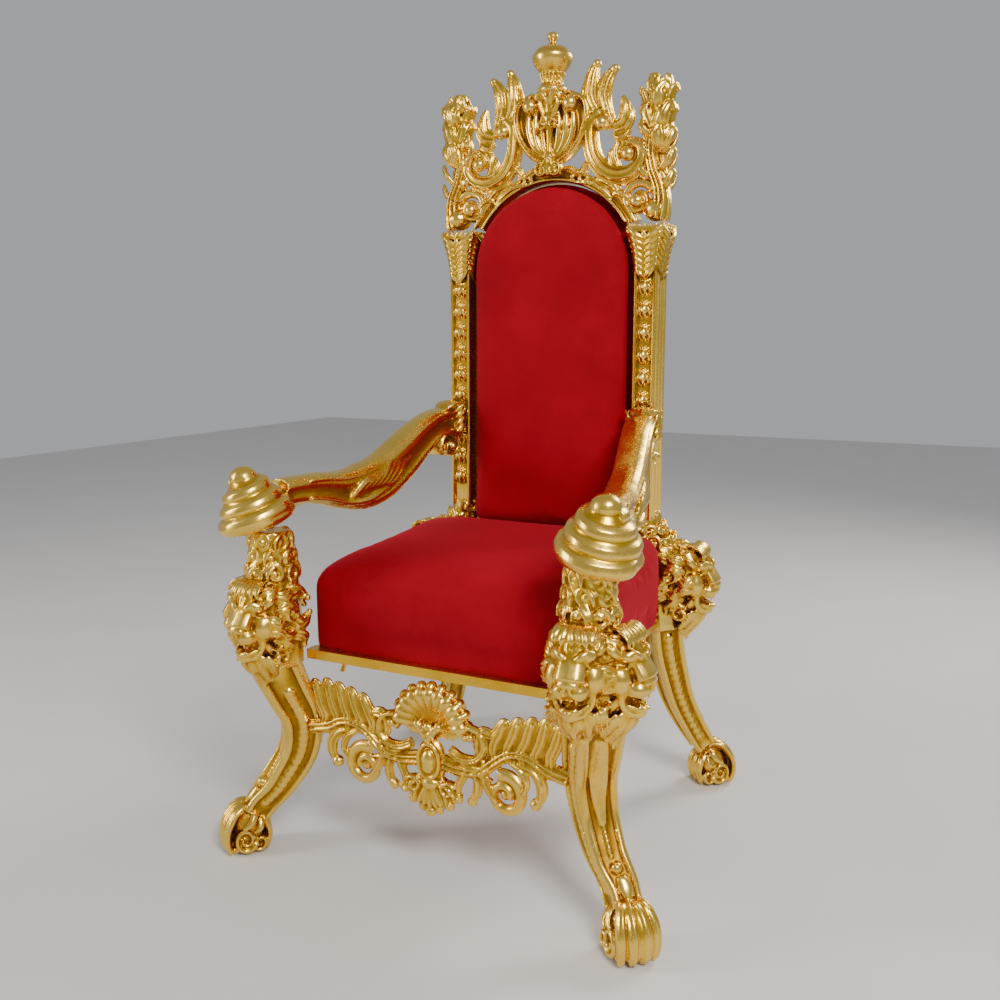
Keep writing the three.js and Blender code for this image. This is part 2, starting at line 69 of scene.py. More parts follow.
# %% [markdown]
# All drawing sizes below are millimetres, with the front seat rail at y = -328. The frame is in metres and its
# origin is at the middle of the throne, so one small offset along y takes a drawing point into the frame.

# %% Drawing sizes
RAIL_FRONT = -328.0
OFFSET = np.array([0.0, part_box("seat_rail_front")[0][1] * 1000 - RAIL_FRONT, 0.0])
FRONT_POST = np.array([352.0, -366.0, 0.0])
REAR_POST = np.array([272.0, 296.0, 0.0])
NECK_TOP = 722.0
CREST_Y = 268.0
APRON_Y = -314.0
print("offset along y, mm:", round(float(OFFSET[1]), 2))

# %% [markdown]
# Shader maths reads best as ordinary arithmetic. `Wire` wraps a socket, and an operator on it adds the Math node
# that does that sum, so a finish is written the way it is thought: a mask times a colour change, one minus a mask.

# %% A small language for shader nodes
class Wire:
    """A node's output that can be added, multiplied and compared."""

    def __init__(self, shop, socket):
        self.shop = shop
        self.socket = socket

    def sum(self, operation, first, second):
        return self.shop.node("ShaderNodeMath", {"operation": operation}, {0: first, 1: second})

    def __add__(self, other):
        return self.sum("ADD", self, other)

    def __radd__(self, other):
        return self.sum("ADD", other, self)

    def __sub__(self, other):
        return self.sum("SUBTRACT", self, other)

    def __rsub__(self, other):
        return self.sum("SUBTRACT", other, self)

    def __mul__(self, other):
        return self.sum("MULTIPLY", self, other)

    def __rmul__(self, other):
        return self.sum("MULTIPLY", other, self)

    def __truediv__(self, other):
        return self.sum("DIVIDE", self, other)

    def __pow__(self, other):
        return self.sum("POWER", self, other)


class Finish:
    """One material and the nodes that it is made of."""

    def __init__(self, name):
        self.material = bpy.data.materials.new(name)
        self.material.use_nodes = True
        self.tree = self.material.node_tree
        self.shader = self.tree.nodes["Principled BSDF"]

    def node(self, kind, settings=None, inputs=None, output=0):
        """Adds a node: its settings first, then the value or link of each socket."""
        made = self.tree.nodes.new(kind)
        for name, value in (settings or {}).items():
            if name == "stops":
                for stop in value[2:]:
                    made.color_ramp.elements.new(stop[0])
                for element, (place, colour) in zip(made.color_ramp.elements, sorted(value)):
                    element.position, element.color = place, (*colour, 1.0)
            else:
                setattr(made, name, value)
        for name, value in (inputs or {}).items():
            self.join(value, made.inputs[name])
        return Wire(self, made.outputs[output])

    def join(self, value, socket):
        if isinstance(value, Wire):
            self.tree.links.new(value.socket, socket)
        else:
            socket.default_value = value

    def surface(self, **values):
        for name, value in values.items():
            self.join(value, self.shader.inputs[name.replace("_", " ")])

    def place(self):
        return self.node("ShaderNodeTexCoord", output="Object")

    def noise(self, scale, detail=3.0, rough=0.5):
        return self.node("ShaderNodeTexNoise", None,
            {"Vector": self.place(), "Scale": scale, "Detail": detail, "Roughness": rough})

    def spread(self, value, low, high, to_low=0.0, to_high=1.0):
        """Stretches low..high of a value onto to_low..to_high and holds the ends."""
        return self.node("ShaderNodeMapRange", None,
            {"Value": value, 1: low, 2: high, 3: to_low, 4: to_high})

    def blend(self, factor, first, second, mode="MIX"):
        return self.node("ShaderNodeMix", {"data_type": "RGBA", "blend_type": mode},
            {0: factor, 6: first, 7: second}, output=2)

    def bump(self, height, strength, distance):
        return self.node("ShaderNodeBump", None,
            {"Height": height, "Strength": strength, "Distance": distance})


# %% [markdown]
# Gold leaf over gesso gets painted shade, a dark umber, in its hollows and a painted highlight, paler gold, on its
# edges.
# A carved piece carries an attribute called recess, worked out from its own shape, that is high in hollows and low on
# edges, and it sets both. Slow noise makes the leaf warmer and paler from place to place, and fine noise gives the
# brushed gesso below it.

# %% The gold finish
def gold_finish():
    gold = Finish("gold leaf with painted shade and highlight")
    recess = gold.node("ShaderNodeAttribute", {"attribute_name": "recess"}, output="Fac")
    cloud = gold.noise(9.0, 4.0, 0.6)
    speckle = gold.noise(70.0, 5.0, 0.7)
    # painted shade: the gold darkens towards umber where the recess attribute is high, in the hollows
    painted_hollow_shade = gold.spread(recess + (speckle - 0.5) * 0.2, 0.12, 0.8)
    # painted highlight: the gold turns paler towards the edges, where the recess attribute is low
    edge = gold.spread(recess * -1.0, 0.08, 0.6)
    leaf = gold.blend(gold.spread(cloud, 0.35, 0.68), (0.68, 0.38, 0.02, 1), (0.84, 0.52, 0.045, 1))
    leaf = gold.blend(painted_hollow_shade * 0.85, leaf, (0.24, 0.11, 0.008, 1))
    leaf = gold.blend(edge * 0.55, leaf, (0.96, 0.7, 0.17, 1))
    rough = 0.2 + gold.spread(speckle, 0.3, 0.7) * 0.12 + painted_hollow_shade * 0.2
    grain = gold.noise(260.0, 3.0, 0.6)
    gold.surface(Base_Color=leaf, Metallic=1.0, Roughness=rough,
        Normal=gold.bump(speckle * 0.7 + grain * 0.3, 0.22, 0.0012))
    return gold.material


GOLD = gold_finish()
print("finish:", GOLD.name)

# %% [markdown]
# Velvet is a forest of short upright threads. Seen along the pile it is pale at the edges, seen into the pile it is
# deep, so it gets a strong sheen over a dark red, faint patches where the pile leans, and a very fine nap as bump.

# %% The velvet finish
def velvet_finish():
    velvet = Finish("crimson velvet")
    lean = velvet.noise(5.0, 3.0, 0.6)
    nap = velvet.noise(900.0, 2.0, 0.6)
    weave = velvet.node("ShaderNodeTexWave", {"wave_type": "BANDS", "bands_direction": "Z"},
                        {"Vector": velvet.place(), "Scale": 160.0, "Distortion": 3.0, "Detail": 2.0,
                            "Detail Scale": 2.0})
    red = velvet.blend(velvet.spread(lean, 0.3, 0.7), (0.25, 0.0, 0.007, 1), (0.35, 0.0, 0.011, 1))
    red = velvet.blend(velvet.spread(nap, 0.3, 0.7) * 0.35, red, (0.13, 0.0, 0.004, 1))
    velvet.surface(Base_Color=red, Roughness=0.82,
        Normal=velvet.bump(nap * 0.8 + weave * 0.2, 0.35, 0.0008))
    velvet.surface(Sheen_Weight=0.35, Sheen_Roughness=0.4, Sheen_Tint=(1.0, 0.05, 0.1, 1),
        Specular_IOR_Level=0.12)
    return velvet.material


VELVET = velvet_finish()
print("finish:", VELVET.name)

# %% [markdown]
# A pale floor, three large soft lamps and a pale sky of one even colour light the throne. Gold shows what is around
# it, so the lamps are wide.

# %% Floor, light and camera
bpy.ops.mesh.primitive_plane_add(size=14.0, location=(0.0, 2.0, 0.0))
floor = bpy.context.object
floor.name = "floor"
plaster = Finish("pale plaster")
grey = plaster.blend(plaster.noise(3.0), (0.62, 0.61, 0.6, 1), (0.68, 0.67, 0.66, 1))
plaster.surface(Base_Color=grey, Roughness=0.8)
floor.data.materials.append(plaster.material)


def lamp(name, place, size, power, target=(0.0, 0.0, 0.85), tint=(1.0, 0.96, 0.9)):
    bpy.ops.object.light_add(type="AREA", location=place)
    made = bpy.context.object
    made.name = name
    made.data.shape = "RECTANGLE"
    made.data.size, made.data.size_y = size
    made.data.energy = power
    made.data.color = tint
    made.rotation_euler = (Vector(target) - Vector(place)).to_track_quat("-Z", "Y").to_euler()
    return made


lamp("key lamp", (2.6, -2.6, 3.4), (1.3, 1.3), 190)
lamp("fill lamp", (-3.2, -2.4, 1.8), (0.8, 2.2), 80)
lamp("rim lamp", (1.6, 2.8, 2.8), (1.4, 1.4), 90)
world = bpy.data.worlds.new("studio sky")
world.use_nodes = True
bpy.context.scene.world = world
sky = world.node_tree.nodes["Background"]
sky.inputs["Color"].default_value = (0.95, 0.96, 1.0, 1)
sky.inputs["Strength"].default_value = 0.42

camera_place = Vector((1.009, -2.057 + 0.030 + OFFSET[1] / 1000, 1.131))
bpy.ops.object.camera_add(location=camera_place)
camera = bpy.context.object
turn, drop = math.radians(26.6), math.radians(9.4)
camera.rotation_euler = (math.pi / 2 - drop, 0.0, turn)
camera.data.lens = 37.15
camera.data.sensor_width = 36.0
bpy.context.scene.camera = camera
print("camera at", [round(v, 3) for v in camera_place])

# %% [markdown]
# Nearly all carving here is a rod or a leaf that follows a curve. `sweep` carries a section along a smooth path, with
# a width and a thickness that may change, and with its face kept towards a chosen side. Round, fluted and reeded
# sections then give stems, leaves and scrolls. `Block` gathers such forms, and nothing is cut until it is complete.

# %% Paths and sections
def unit(v):
    return v / np.maximum(np.linalg.norm(v, axis=-1, keepdims=True), 1e-9)


def smooth_path(points, count):
    """Points on a smooth curve through the given ones."""
    p = np.asarray(points, float)
    chord = np.r_[0.0, np.cumsum(np.linalg.norm(np.diff(p, axis=0), axis=1))]
    slope = np.gradient(p, chord, axis=0)
    s = np.linspace(0.0, chord[-1], count)
    i = np.clip(np.searchsorted(chord, s, side="right") - 1, 0, len(p) - 2)
    h = (chord[i + 1] - chord[i])[:, None]
    t = (s - chord[i])[:, None] / h
    return ((2 * t**3 - 3 * t**2 + 1) * p[i] + (t**3 - 2 * t**2 + t) * h * slope[i]
            + (3 * t**2 - 2 * t**3) * p[i + 1] + (t**3 - t**2) * h * slope[i + 1])


def round_section(sides=10):
    a = np.linspace(0, 2 * np.pi, sides, endpoint=False)
    return np.c_[np.cos(a), np.sin(a)]


def fluted_section(flutes, depth=0.45, samples=None, back=0.45):
    """A leaf's section: a crowned face with hollows between ridges, and a low back."""
    n = samples or 6 * flutes + 5
    x = np.linspace(1, -1, n)
    crown = np.sqrt(np.clip(1 - x**2, 0, 1)) ** 0.8
    face = crown * (1 - depth) + crown * depth * np.abs(np.cos(np.pi * flutes * (x + 1) / 2))
    under = np.linspace(-1, 1, 5)[1:-1]
    return np.r_[np.c_[x, face], np.c_[under, -back * np.sqrt(1 - under**2)]]


ROUND = round_section()
LEAF2 = fluted_section(2)
LEAF3 = fluted_section(3)
LEAF4 = fluted_section(4)


def swell(size, tip=0.12, peak=0.4):
    """A width that grows from a stem, is widest at peak and narrows to a tip."""
    def at(t):
        grown = np.where(t < peak, np.sin(np.pi / 2 * np.clip(t / peak, 0, 1)),
            np.cos(np.pi / 2 * np.clip((t - peak) / (1 - peak), 0, 1)))
        return size * (tip + (1 - tip) * np.where(t < peak, 0.45 + 0.55 * grown, grown))
    return at


def taper(first, last):
    return lambda t: first + (last - first) * t


FRONT = np.array([0.0, -1.0, 0.0])


class Block:
    """Closed forms gathered as one list of points and faces, in millimetres."""

    def __init__(self):
        self.points, self.faces, self.count = [], [], 0

    def add(self, points, faces):
        self.points.append(np.asarray(points, float))
        self.faces += [tuple(int(i) + self.count for i in face) for face in faces]
        self.count += len(points)

    def sweep(self, path, wide, deep, face=FRONT, section=ROUND, count=None):
        p = smooth_path(path, count or 6 + 5 * len(path))
        n, m = len(p), len(section)
        t = np.linspace(0, 1, n)
        along = unit(np.gradient(p, axis=0))
        facing = face(p) if callable(face) else np.broadcast_to(np.asarray(face, float), p.shape)
        across = unit(np.cross(facing, along))
        out = unit(np.cross(along, across))
        w = (wide(t) if callable(wide) else np.full(n, float(wide)))[:, None, None]
        d = (deep(t) if callable(deep) else np.full(n, float(deep)))[:, None, None]
        ring = p[:, None] + across[:, None] * section[None, :, :1] * w + out[:, None] * section[None, :,
            1:] * d
        points = np.r_[ring.reshape(-1, 3), p[:1], p[-1:]]
        i, j = np.meshgrid(np.arange(n - 1), np.arange(m), indexing="ij")
        k = (j + 1) % m
        quads = np.stack([i * m + j, i * m + k, (i + 1) * m + k, (i + 1) * m + j], -1).reshape(-1, 4)
        first = [(n * m, (q + 1) % m, q) for q in range(m)]
        last = [(n * m + 1, (n - 1) * m + q, (n - 1) * m + (q + 1) % m) for q in range(m)]
        self.add(points, [*map(tuple, quads), *first, *last])

    def ball(self, centre, r, turn=None, around=16, down=10):
        """An ellipsoid with half-axes r."""
        r = np.broadcast_to(np.asarray(r, float), 3)
        u = np.linspace(0, 2 * np.pi, around, endpoint=False)
        v = np.linspace(0, np.pi, down + 1)[1:-1]
        grid = np.stack([np.outer(np.sin(v), np.cos(u)), np.outer(np.sin(v), np.sin(u)),
            np.outer(np.cos(v), np.ones_like(u))], -1)
        points = np.r_[grid.reshape(-1, 3), [[0, 0, 1]], [[0, 0, -1]]] * r
        if turn is not None:
            points = points @ np.asarray(turn).T
        rows = len(v)
        faces = [(a * around + b, (a + 1) * around + b, (a + 1) * around + (b + 1) % around,
            a * around + (b + 1) % around)
                 for a in range(rows - 1) for b in range(around)]
        faces += [(rows * around, b, (b + 1) % around) for b in range(around)]
        faces += [(rows * around + 1, (rows - 1) * around + (b + 1) % around, (rows - 1) * around + b)
            for b in range(around)]
        self.add(points + np.asarray(centre, float), faces)

    def lathe(self, profile, sides=48, centre=(0, 0, 0), turn=None):
        """A form turned about +Z from [radius, height] pairs that start and end on the axis."""
        rz = np.asarray(profile, float)
        a = np.linspace(0, 2 * np.pi, sides, endpoint=False)
        inner = rz[1:-1]
        ring = np.stack([np.outer(inner[:, 0], np.cos(a)), np.outer(inner[:, 0], np.sin(a)),
            np.outer(inner[:, 1], np.ones(sides))], -1)
        points = np.r_[ring.reshape(-1, 3), [[0, 0, rz[0, 1]]], [[0, 0, rz[-1, 1]]]]
        if turn is not None:
            points = points @ np.asarray(turn).T
        rows = len(inner)
        faces = [(i * sides + j, i * sides + (j + 1) % sides, (i + 1) * sides + (j + 1) % sides,
            (i + 1) * sides + j)
                 for i in range(rows - 1) for j in range(sides)]
        faces += [(rows * sides, (j + 1) % sides, j) for j in range(sides)]
        faces += [(rows * sides + 1, (rows - 1) * sides + j, (rows - 1) * sides + (j + 1) % sides)
            for j in range(sides)]
        self.add(points + np.asarray(centre, float), faces)

    def box(self, low, high):
        low, high = np.asarray(low, float), np.asarray(high, float)
        corner = np.array([[(i >> 0) & 1, (i >> 1) & 1, (i >> 2) & 1] for i in range(8)], float)
        self.add(low + corner * (high - low), [(0, 2, 3, 1), (4, 5, 7, 6), (0, 1, 5, 4), (2, 6, 7, 3),
            (0, 4, 6, 2), (1, 3, 7, 5)])

    def slab(self, outline, y, depth):
        """An outline in x and z, given as points, between y and y + depth."""
        edge = np.asarray(outline, float)
        n = len(edge)
        near = np.c_[edge[:, 0], np.full(n, y), edge[:, 1]]
        self.add(np.r_[near, near + [0, depth, 0]],
                 [tuple(range(n)), tuple(range(2 * n - 1, n - 1, -1)),
                     *[(i, i + n, (i + 1) % n + n, (i + 1) % n) for i in range(n)]])

    def volute(self, centre, radius, turns=1.25, start=0.0, hand=1, plane=((1, 0, 0), (0, 0, 1)),
        wide=None, deep=None,
               section=ROUND, eye=None, inner=0.28):
        """A spiral that winds in to a ball; plane holds its two in-plane directions."""
        u, v = np.asarray(plane[0], float), np.asarray(plane[1], float)
        a = start + hand * np.linspace(0, turns * 2 * np.pi, int(10 * turns) + 2)
        r = radius * np.linspace(1, inner, len(a))
        centre = np.asarray(centre, float)
        path = centre + np.outer(r * np.cos(a), u) + np.outer(r * np.sin(a), v)
        normal = np.cross(v, u)
        wide = wide or taper(radius * 0.24, radius * 0.14)
        self.sweep(path, wide, deep or radius * 0.3, normal, section, 14 + int(20 * turns))
        if eye is not None:
            self.ball(centre + normal * eye[1], eye[0])
        return path

    def include(self, other, turn=None, at=(0, 0, 0)):
        """Copies another block in, turned by a 3x3 matrix and then moved."""
        for_points = np.concatenate(other.points)
        if turn is not None:
            for_points = for_points @ np.asarray(turn).T
        self.add(for_points + np.asarray(at, float), other.faces)

    def mirrored(self):
        """The same block on the other side of x = 0."""
        twin = Block()
        twin.add(np.concatenate(self.points) * [-1, 1, 1], [face[::-1] for face in self.faces])
        return twin


def about_z(degrees):
    return np.array(Matrix.Rotation(math.radians(degrees), 3, "Z"))


def about(axis, degrees):
    return np.array(Matrix.Rotation(math.radians(degrees), 3, axis))


# %% [markdown]
# A gathered block becomes a carved piece in four steps: remesh it into one skin, ease the skin so that the cuts look
# worked by a gouge, thin it to the triangles it may have, and measure how deep in the hollows each point lies, which
# sets the painted shade and painted highlight in the gold.

# %% From a block to a carved piece
def hollowness(mesh):
    """How far each point lies below the smoothed surface round it, on two scales."""
    n = len(mesh.vertices)
    place, normal = np.empty(n * 3), np.empty(n * 3)
    mesh.vertices.foreach_get("co", place)
    mesh.vertices.foreach_get("normal", normal)
    place, normal = place.reshape(-1, 3), normal.reshape(-1, 3)
    edge = np.empty(len(mesh.edges) * 2, int)
    mesh.edges.foreach_get("vertices", edge)
    a, b = edge.reshape(-1, 2).T
    ends = np.r_[a, b]
    others = np.r_[b, a]
    share = np.maximum(np.bincount(ends, minlength=n), 1)[:, None]
    eased = place.copy()
    depth = []
    for step in range(24):
        eased = np.stack([np.bincount(ends, eased[others, axis], n) for axis in range(3)], 1) / share
        if step in (3, 23):
            depth.append(((eased - place) * normal).sum(1))
    mixed = depth[0] / 0.0009 * 0.5 + depth[1] / 0.0040 * 0.5
    for _ in range(2):
        mixed = 0.5 * mixed + 0.5 * np.bincount(ends, mixed[others], n) / share[:, 0]
    return np.clip(mixed, -1, 1)


def raw_mesh(name, block):
    mesh = bpy.data.meshes.new(name)
    mesh.from_pydata(((np.concatenate(block.points) + OFFSET) / 1000).tolist(), [], block.faces)
    mesh.validate()
    piece = bpy.data.objects.new(name, mesh)
    bpy.context.collection.objects.link(piece)
    return piece


def apply_all(piece):
    bpy.ops.object.select_all(action="DESELECT")
    bpy.context.view_layer.objects.active = piece
    piece.select_set(True)
    for modifier in list(piece.modifiers):
        bpy.ops.object.modifier_apply(modifier=modifier.name)


def carve(name, block, voxel=1.8, ease=2, triangles=60000, flat_foot=False):
    """Melts a block into one skin and finishes it."""
    piece = raw_mesh(name, block)
    remesh = piece.modifiers.new("one skin", "REMESH")
    remesh.mode = "VOXEL"
    remesh.voxel_size = voxel / 1000
    if ease:
        easing = piece.modifiers.new("worked", "SMOOTH")
        easing.iterations = ease
        easing.factor = 0.5
    apply_all(piece)
    count = sum(len(p.vertices) - 2 for p in piece.data.polygons)
    if count > triangles:
        thin = piece.modifiers.new("thinned", "DECIMATE")
        thin.ratio = triangles / count
        apply_all(piece)
    if flat_foot:
        co = np.empty(len(piece.data.vertices) * 3)
        piece.data.vertices.foreach_get("co", co)
        co = co.reshape(-1, 3)
        co[:, 2] = np.maximum(co[:, 2], 0.0)
        piece.data.vertices.foreach_set("co", co.ravel())
        piece.data.update()
    # recess is how deep in the hollows each point lies; it sets the painted shade and the painted highlight in the
    # gold
    recess = piece.data.attributes.new("recess", "FLOAT", "POINT")
    recess.data.foreach_set("value", hollowness(piece.data).astype(np.float32))
    piece.data.materials.append(GOLD)
    bpy.ops.object.select_all(action="DESELECT")
    piece.select_set(True)
    bpy.context.view_layer.objects.active = piece
    bpy.ops.object.shade_smooth()
    print(name, "triangles", sum(len(p.vertices) - 2 for p in piece.data.polygons), "from", count)
    return piece


def fitted(piece, *nodes, slot="gilt"):
    """Rides on the throne and stands for the plain solids."""
    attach(piece, "root")
    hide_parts(*nodes)
    return piece


def twin_of(piece, name):
    """A copy on the other side of x = 0, with its faces turned back outwards."""
    mesh = piece.data.copy()
    mesh.name = name
    mesh.transform(Matrix.Scale(-1, 4, (1, 0, 0)))
    mesh.flip_normals()
    twin = bpy.data.objects.new(name, mesh)
    bpy.context.collection.objects.link(twin)
    return twin


def pair(piece, node):
    """Finishes the right-hand piece and its left-hand twin."""
    fitted(twin_of(piece, node + "_carved_left"), node + "_left")
    return fitted(piece, node + "_right")

# %% [markdown]
# The lions carry the throne. A carver blocks the head out as a few round masses, skull, brows, bridge, cheeks,
# whisker pads and jaw, and only then cuts eyes, nostrils, lips and teeth. The same order works here: the masses are
# melted together and eased into soft clay first, and the crisp parts are set on that.

# %% Softened masses
def softened(block, voxel, ease):
    """The block as one eased skin, as a new block."""
    clay = raw_mesh("clay", block)
    remesh = clay.modifiers.new("one skin", "REMESH")
    remesh.mode = "VOXEL"
    remesh.voxel_size = voxel / 1000
    easing = clay.modifiers.new("eased", "SMOOTH")
    easing.iterations = ease
    apply_all(clay)
    mesh = clay.data
    points = np.empty(len(mesh.vertices) * 3)
    mesh.vertices.foreach_get("co", points)
    soft = Block()
    soft.add(points.reshape(-1, 3) * 1000 - OFFSET, [tuple(p.vertices) for p in mesh.polygons])
    bpy.data.objects.remove(clay)
    return soft


def both_sides(draw):
    for side in (-1, 1):
        draw(side)


def face_masses():
    clay = Block()
    clay.ball((0, -30, 18), (50, 56, 62))
    clay.ball((0, -66, 40), (42, 32, 30))
    clay.ball((0, -78, 8), (35, 20, 32))
    clay.ball((0, -90, -16), (26, 27, 20))
    clay.ball((0, -60, -30), (34, 26, 40))
    clay.sweep([(0, -74, 46), (0, -92, 30), (0, -104, 12), (0, -112, -2)], taper(13, 17), taper(26, 30),
        (1, 0, 0))

    def half(side):
        clay.ball((side * 21, -84, 37), (23, 17, 13), about("Y", -side * 20))
        clay.ball((side * 34, -64, -4), (22, 31, 30))
        clay.ball((side * 34, -72, 14), (17, 16, 9), about("Y", side * 12))
        clay.ball((side * 14, -98, -20), (20, 22, 17))
        clay.sweep([(side * 28, -84, -20), (side * 33, -76, -38), (side * 27, -80, -56),
            (side * 12, -92, -64)], 8, 8)
    both_sides(half)
    clay.ball((0, -78, -66), (30, 28, 13))
    clay.ball((0, -96, -67), (17, 13, 12))
    return softened(clay, 2.2, 4)


def lion_face():
    face = Block()
    face.include(face_masses())
    face.ball((0, -117, -4), (17, 9, 8))
    face.ball((0, -98, -54), (12, 20, 5), about("X", 10))
    for x in (-8, -3, 3, 8):
        face.ball((x, -106 + abs(x) * 0.3, -35), (2.6, 2.6, 5))
        face.ball((x * 1.1, -103 + abs(x) * 0.3, -55), (2.4, 2.4, 4.5))

    def half(side):
        face.ball((side * 20.5, -84.5, 19), (9, 8, 7.5))
        lid = 2.9
        face.sweep([(side * 9, -91, 14), (side * 14, -95, 24), (side * 22, -95, 27),
            (side * 34, -84, 18)], swell(lid * 1.3, 0.5), lid)
        face.sweep([(side * 9, -91, 14), (side * 16, -93.5, 11), (side * 25, -91, 10.5),
            (side * 34, -84, 18)], swell(lid, 0.5), lid * 0.9)
        face.sweep([(side * 6, -97, 30), (side * 14, -102, 37), (side * 27, -95, 46),
            (side * 40, -78, 44)], swell(7, 0.3), swell(6, 0.3))
        face.sweep([(side * 3, -96, 30), (side * 4, -96, 42), (side * 8, -90, 56),
            (side * 14, -80, 66)], swell(5, 0.3), 4)
        face.ball((side * 12, -115, -6), (8, 9, 7))
        face.sweep([(side * 4, -122, -9), (side * 7, -119, -20), (side * 20, -110, -31),
            (side * 30, -90, -29)], swell(3.6, 0.5), 3.4)
        face.sweep([(0, -109, -61), (side * 14, -103, -58), (side * 26, -86, -50)], swell(3.6, 0.5),
            3.2)
        face.sweep([(side * 13, -107, -30), (side * 13.5, -108, -38), (side * 12.5, -106, -47)],
            taper(4.2, 0.8), taper(4.2, 0.8))
        face.sweep([(side * 11, -103, -60), (side * 12, -104, -52), (side * 13, -103, -46)],
            taper(3.6, 0.8), taper(3.6, 0.8))
    both_sides(half)
    return face


# %% [markdown]
# The mane springs from round the face in rows of S-shaped locks. Each lock is a fluted leaf that starts flat on the
# cheek, rises, and turns its tip over, and neighbours turn opposite ways, so that no two rows line up.

# %% The mane
def lock_row(block, count, start_y, grow, length, width, first=0.0, sweep_back=1.0, low=-1.0):
    for i in range(count):
        a = 2 * np.pi * (i + first) / count
        radial = np.array([math.sin(a), 0, math.cos(a)])
        if radial[2] < low:
            continue
        around = np.array([math.cos(a), 0, -math.sin(a)])
        hand = 1 if i % 2 else -1
        root = np.array([(44 + grow) * radial[0], start_y, 6 + (60 + grow) * radial[2]])
        drop = np.array([0, 0, -10.0]) * max(0.0, 0.6 - radial[2])
        back = np.array([0, 1.0, 0]) * sweep_back
        path = [root - 4 * radial, root + 8 * radial + back * 5 + around * hand * 4,
            root + 14 * radial + back * length * 0.42 + around * hand * 10 + drop * 0.5,
                root + 12 * radial + back * length * 0.8 - around * hand * 2 + drop,
                    root + 17 * radial + back * length * 0.88 - around * hand * 15 + drop * 1.2]
        block.sweep(path, swell(width, 0.25, 0.45), swell(width * 0.72, 0.3, 0.45),
            radial * 0.9 + FRONT * 0.6, LEAF3, 26)
        tip = path[-1]
        block.ball(tip + around * hand * 3, width * 0.4)


def lion_head():
    head = Block()
    head.include(lion_face())
    head.ball((0, -8, -2), (58, 56, 90))
    lock_row(head, 13, -72, 0, 40, 13.5)
    lock_row(head, 12, -48, 4, 46, 15, 0.5)
    lock_row(head, 11, -16, 6, 48, 16.5, 0.25)

    def forelock(x, length, lean):
        head.sweep([(x * 0.8, -58, 84), (x, -80, 76), (x + lean, -90, 64),
            (x + lean * 1.6, -90, 64 - length)],
                   swell(10.5, 0.25, 0.3), swell(7, 0.3, 0.3), (0, -1, 0.4), LEAF2, 24)
    for x, length, lean in ((-30, 6, -5), (-17, 10, -2), (-5, 13, 3), (7, 8, 5), (19, 12, 4),
            (31, 5, 4)):
        forelock(x, length, lean)

    def half(side):
        head.ball((side * 50, -20, 14), (9, 16, 20))
        head.volute((side * 60, -20, 14), 18, 1.2, 0.6, -side, ((0, 1, 0), (0, 0, 1)), 5.5, 9, ROUND,
            (6, side * 1.0))
        head.volute((side * 48, -44, -72), 20, 1.3, 2.4, side, ((0, 1, 0), (0, 0, 1)), 6, 10, ROUND,
            (7, side * 2.0))
        for k in range(7):
            a = 0.5 + k * 0.62
            head.ball((side * 56, -42 + 22 * math.cos(a), -74 + 22 * math.sin(a)), 3.6)
        for k, x in enumerate((6, 17, 28, 38)):
            sway = 6 if k % 2 else -4
            head.sweep([(side * x, -92 + x * 0.5, -66), (side * (x + 3), -88 + x * 0.55, -84 + k * 3),
                (side * (x * 0.8 + sway), -70 + x * 0.4, -108 + k * 5),
                        (side * x * 0.75, -52 + x * 0.3, -134 + k * 7),
                            (side * (x * 0.6 - sway), -50 + x * 0.25, -146 + k * 8)],
                       swell(11.5, 0.3, 0.4), swell(9, 0.3, 0.4), (side * x / 60, -1, -0.2), LEAF3, 30)
    both_sides(half)
    return head


HEAD = lion_head()
print("lion's head: points", HEAD.count)


# %% [markdown]
# A leg is a square cabriole with a bead along each arris and a sunk panel between them. Its two side panels hold a
# string of scales that grow smaller towards the ankle, and its outer panel has a boss and a tab above the paw.

# %% Legs and paws
def panelled_section():
    side = [(-0.6, -1.0), (-0.55, -0.83), (0, -0.86), (0.55, -0.83), (0.6, -1.0), (0.72, -1.05),
        (0.88, -1.0), (1.0, -0.88), (1.05, -0.72)]
    points = []
    for k in range(4):
        c, s = math.cos(k * math.pi / 2), math.sin(k * math.pi / 2)
        points += [(x * c - y * s, x * s + y * c) for x, y in side]
    return np.array(points)


PANELLED = panelled_section()


def frames_along(path, count, face):
    p = smooth_path(path, count)
    along = unit(np.gradient(p, axis=0))
    across = unit(np.cross(np.broadcast_to(face, p.shape), along))
    return p, along, across, unit(np.cross(along, across))


def shank(block, path, top, ankle, face, pearls=21):
    """A panelled leg along a path, from its top down to its ankle; top and ankle are half widths."""
    face = unit(np.asarray(face, float))
    block.sweep(path, taper(top, ankle), taper(top, ankle), face, PANELLED, 60)
    p, along, across, out = frames_along(path, 200, face)
    for k in range(pearls):
        t = 0.16 + 0.76 * (k + 0.5) / pearls
        i = int(t * 199)
        half = top + (ankle - top) * t
        size = half * 0.3
        for side in (-1, 1):
            turn = np.stack([along[i], out[i], across[i]], 1)
            block.ball(p[i] + across[i] * side * half * 0.84, (size * 1.15, size, size * 0.62), turn,
                12, 8)
    half = lambda t: top + (ankle - top) * t
    spot = lambda t, lift: p[int(t * 199)] + out[int(t * 199)] * half(t) * lift
    block.sweep([spot(0.06, 0.84), spot(0.3, 0.92), spot(0.5, 0.9), spot(0.62, 0.84)],
        swell(top * 0.42, 0.4), 6, face, ROUND, 30)
    for k in range(8):
        t = 0.62 + k * 0.022
        block.ball(spot(t, 0.86), half(t) * 0.14, None, 8, 6)
    block.ball(spot(0.83, 0.95), half(0.83) * 0.36)
    block.sweep([spot(0.87, 0.9), spot(0.93, 1.0), spot(0.98, 0.95)], swell(ankle * 0.5, 0.4), 7, face,
        ROUND, 14)


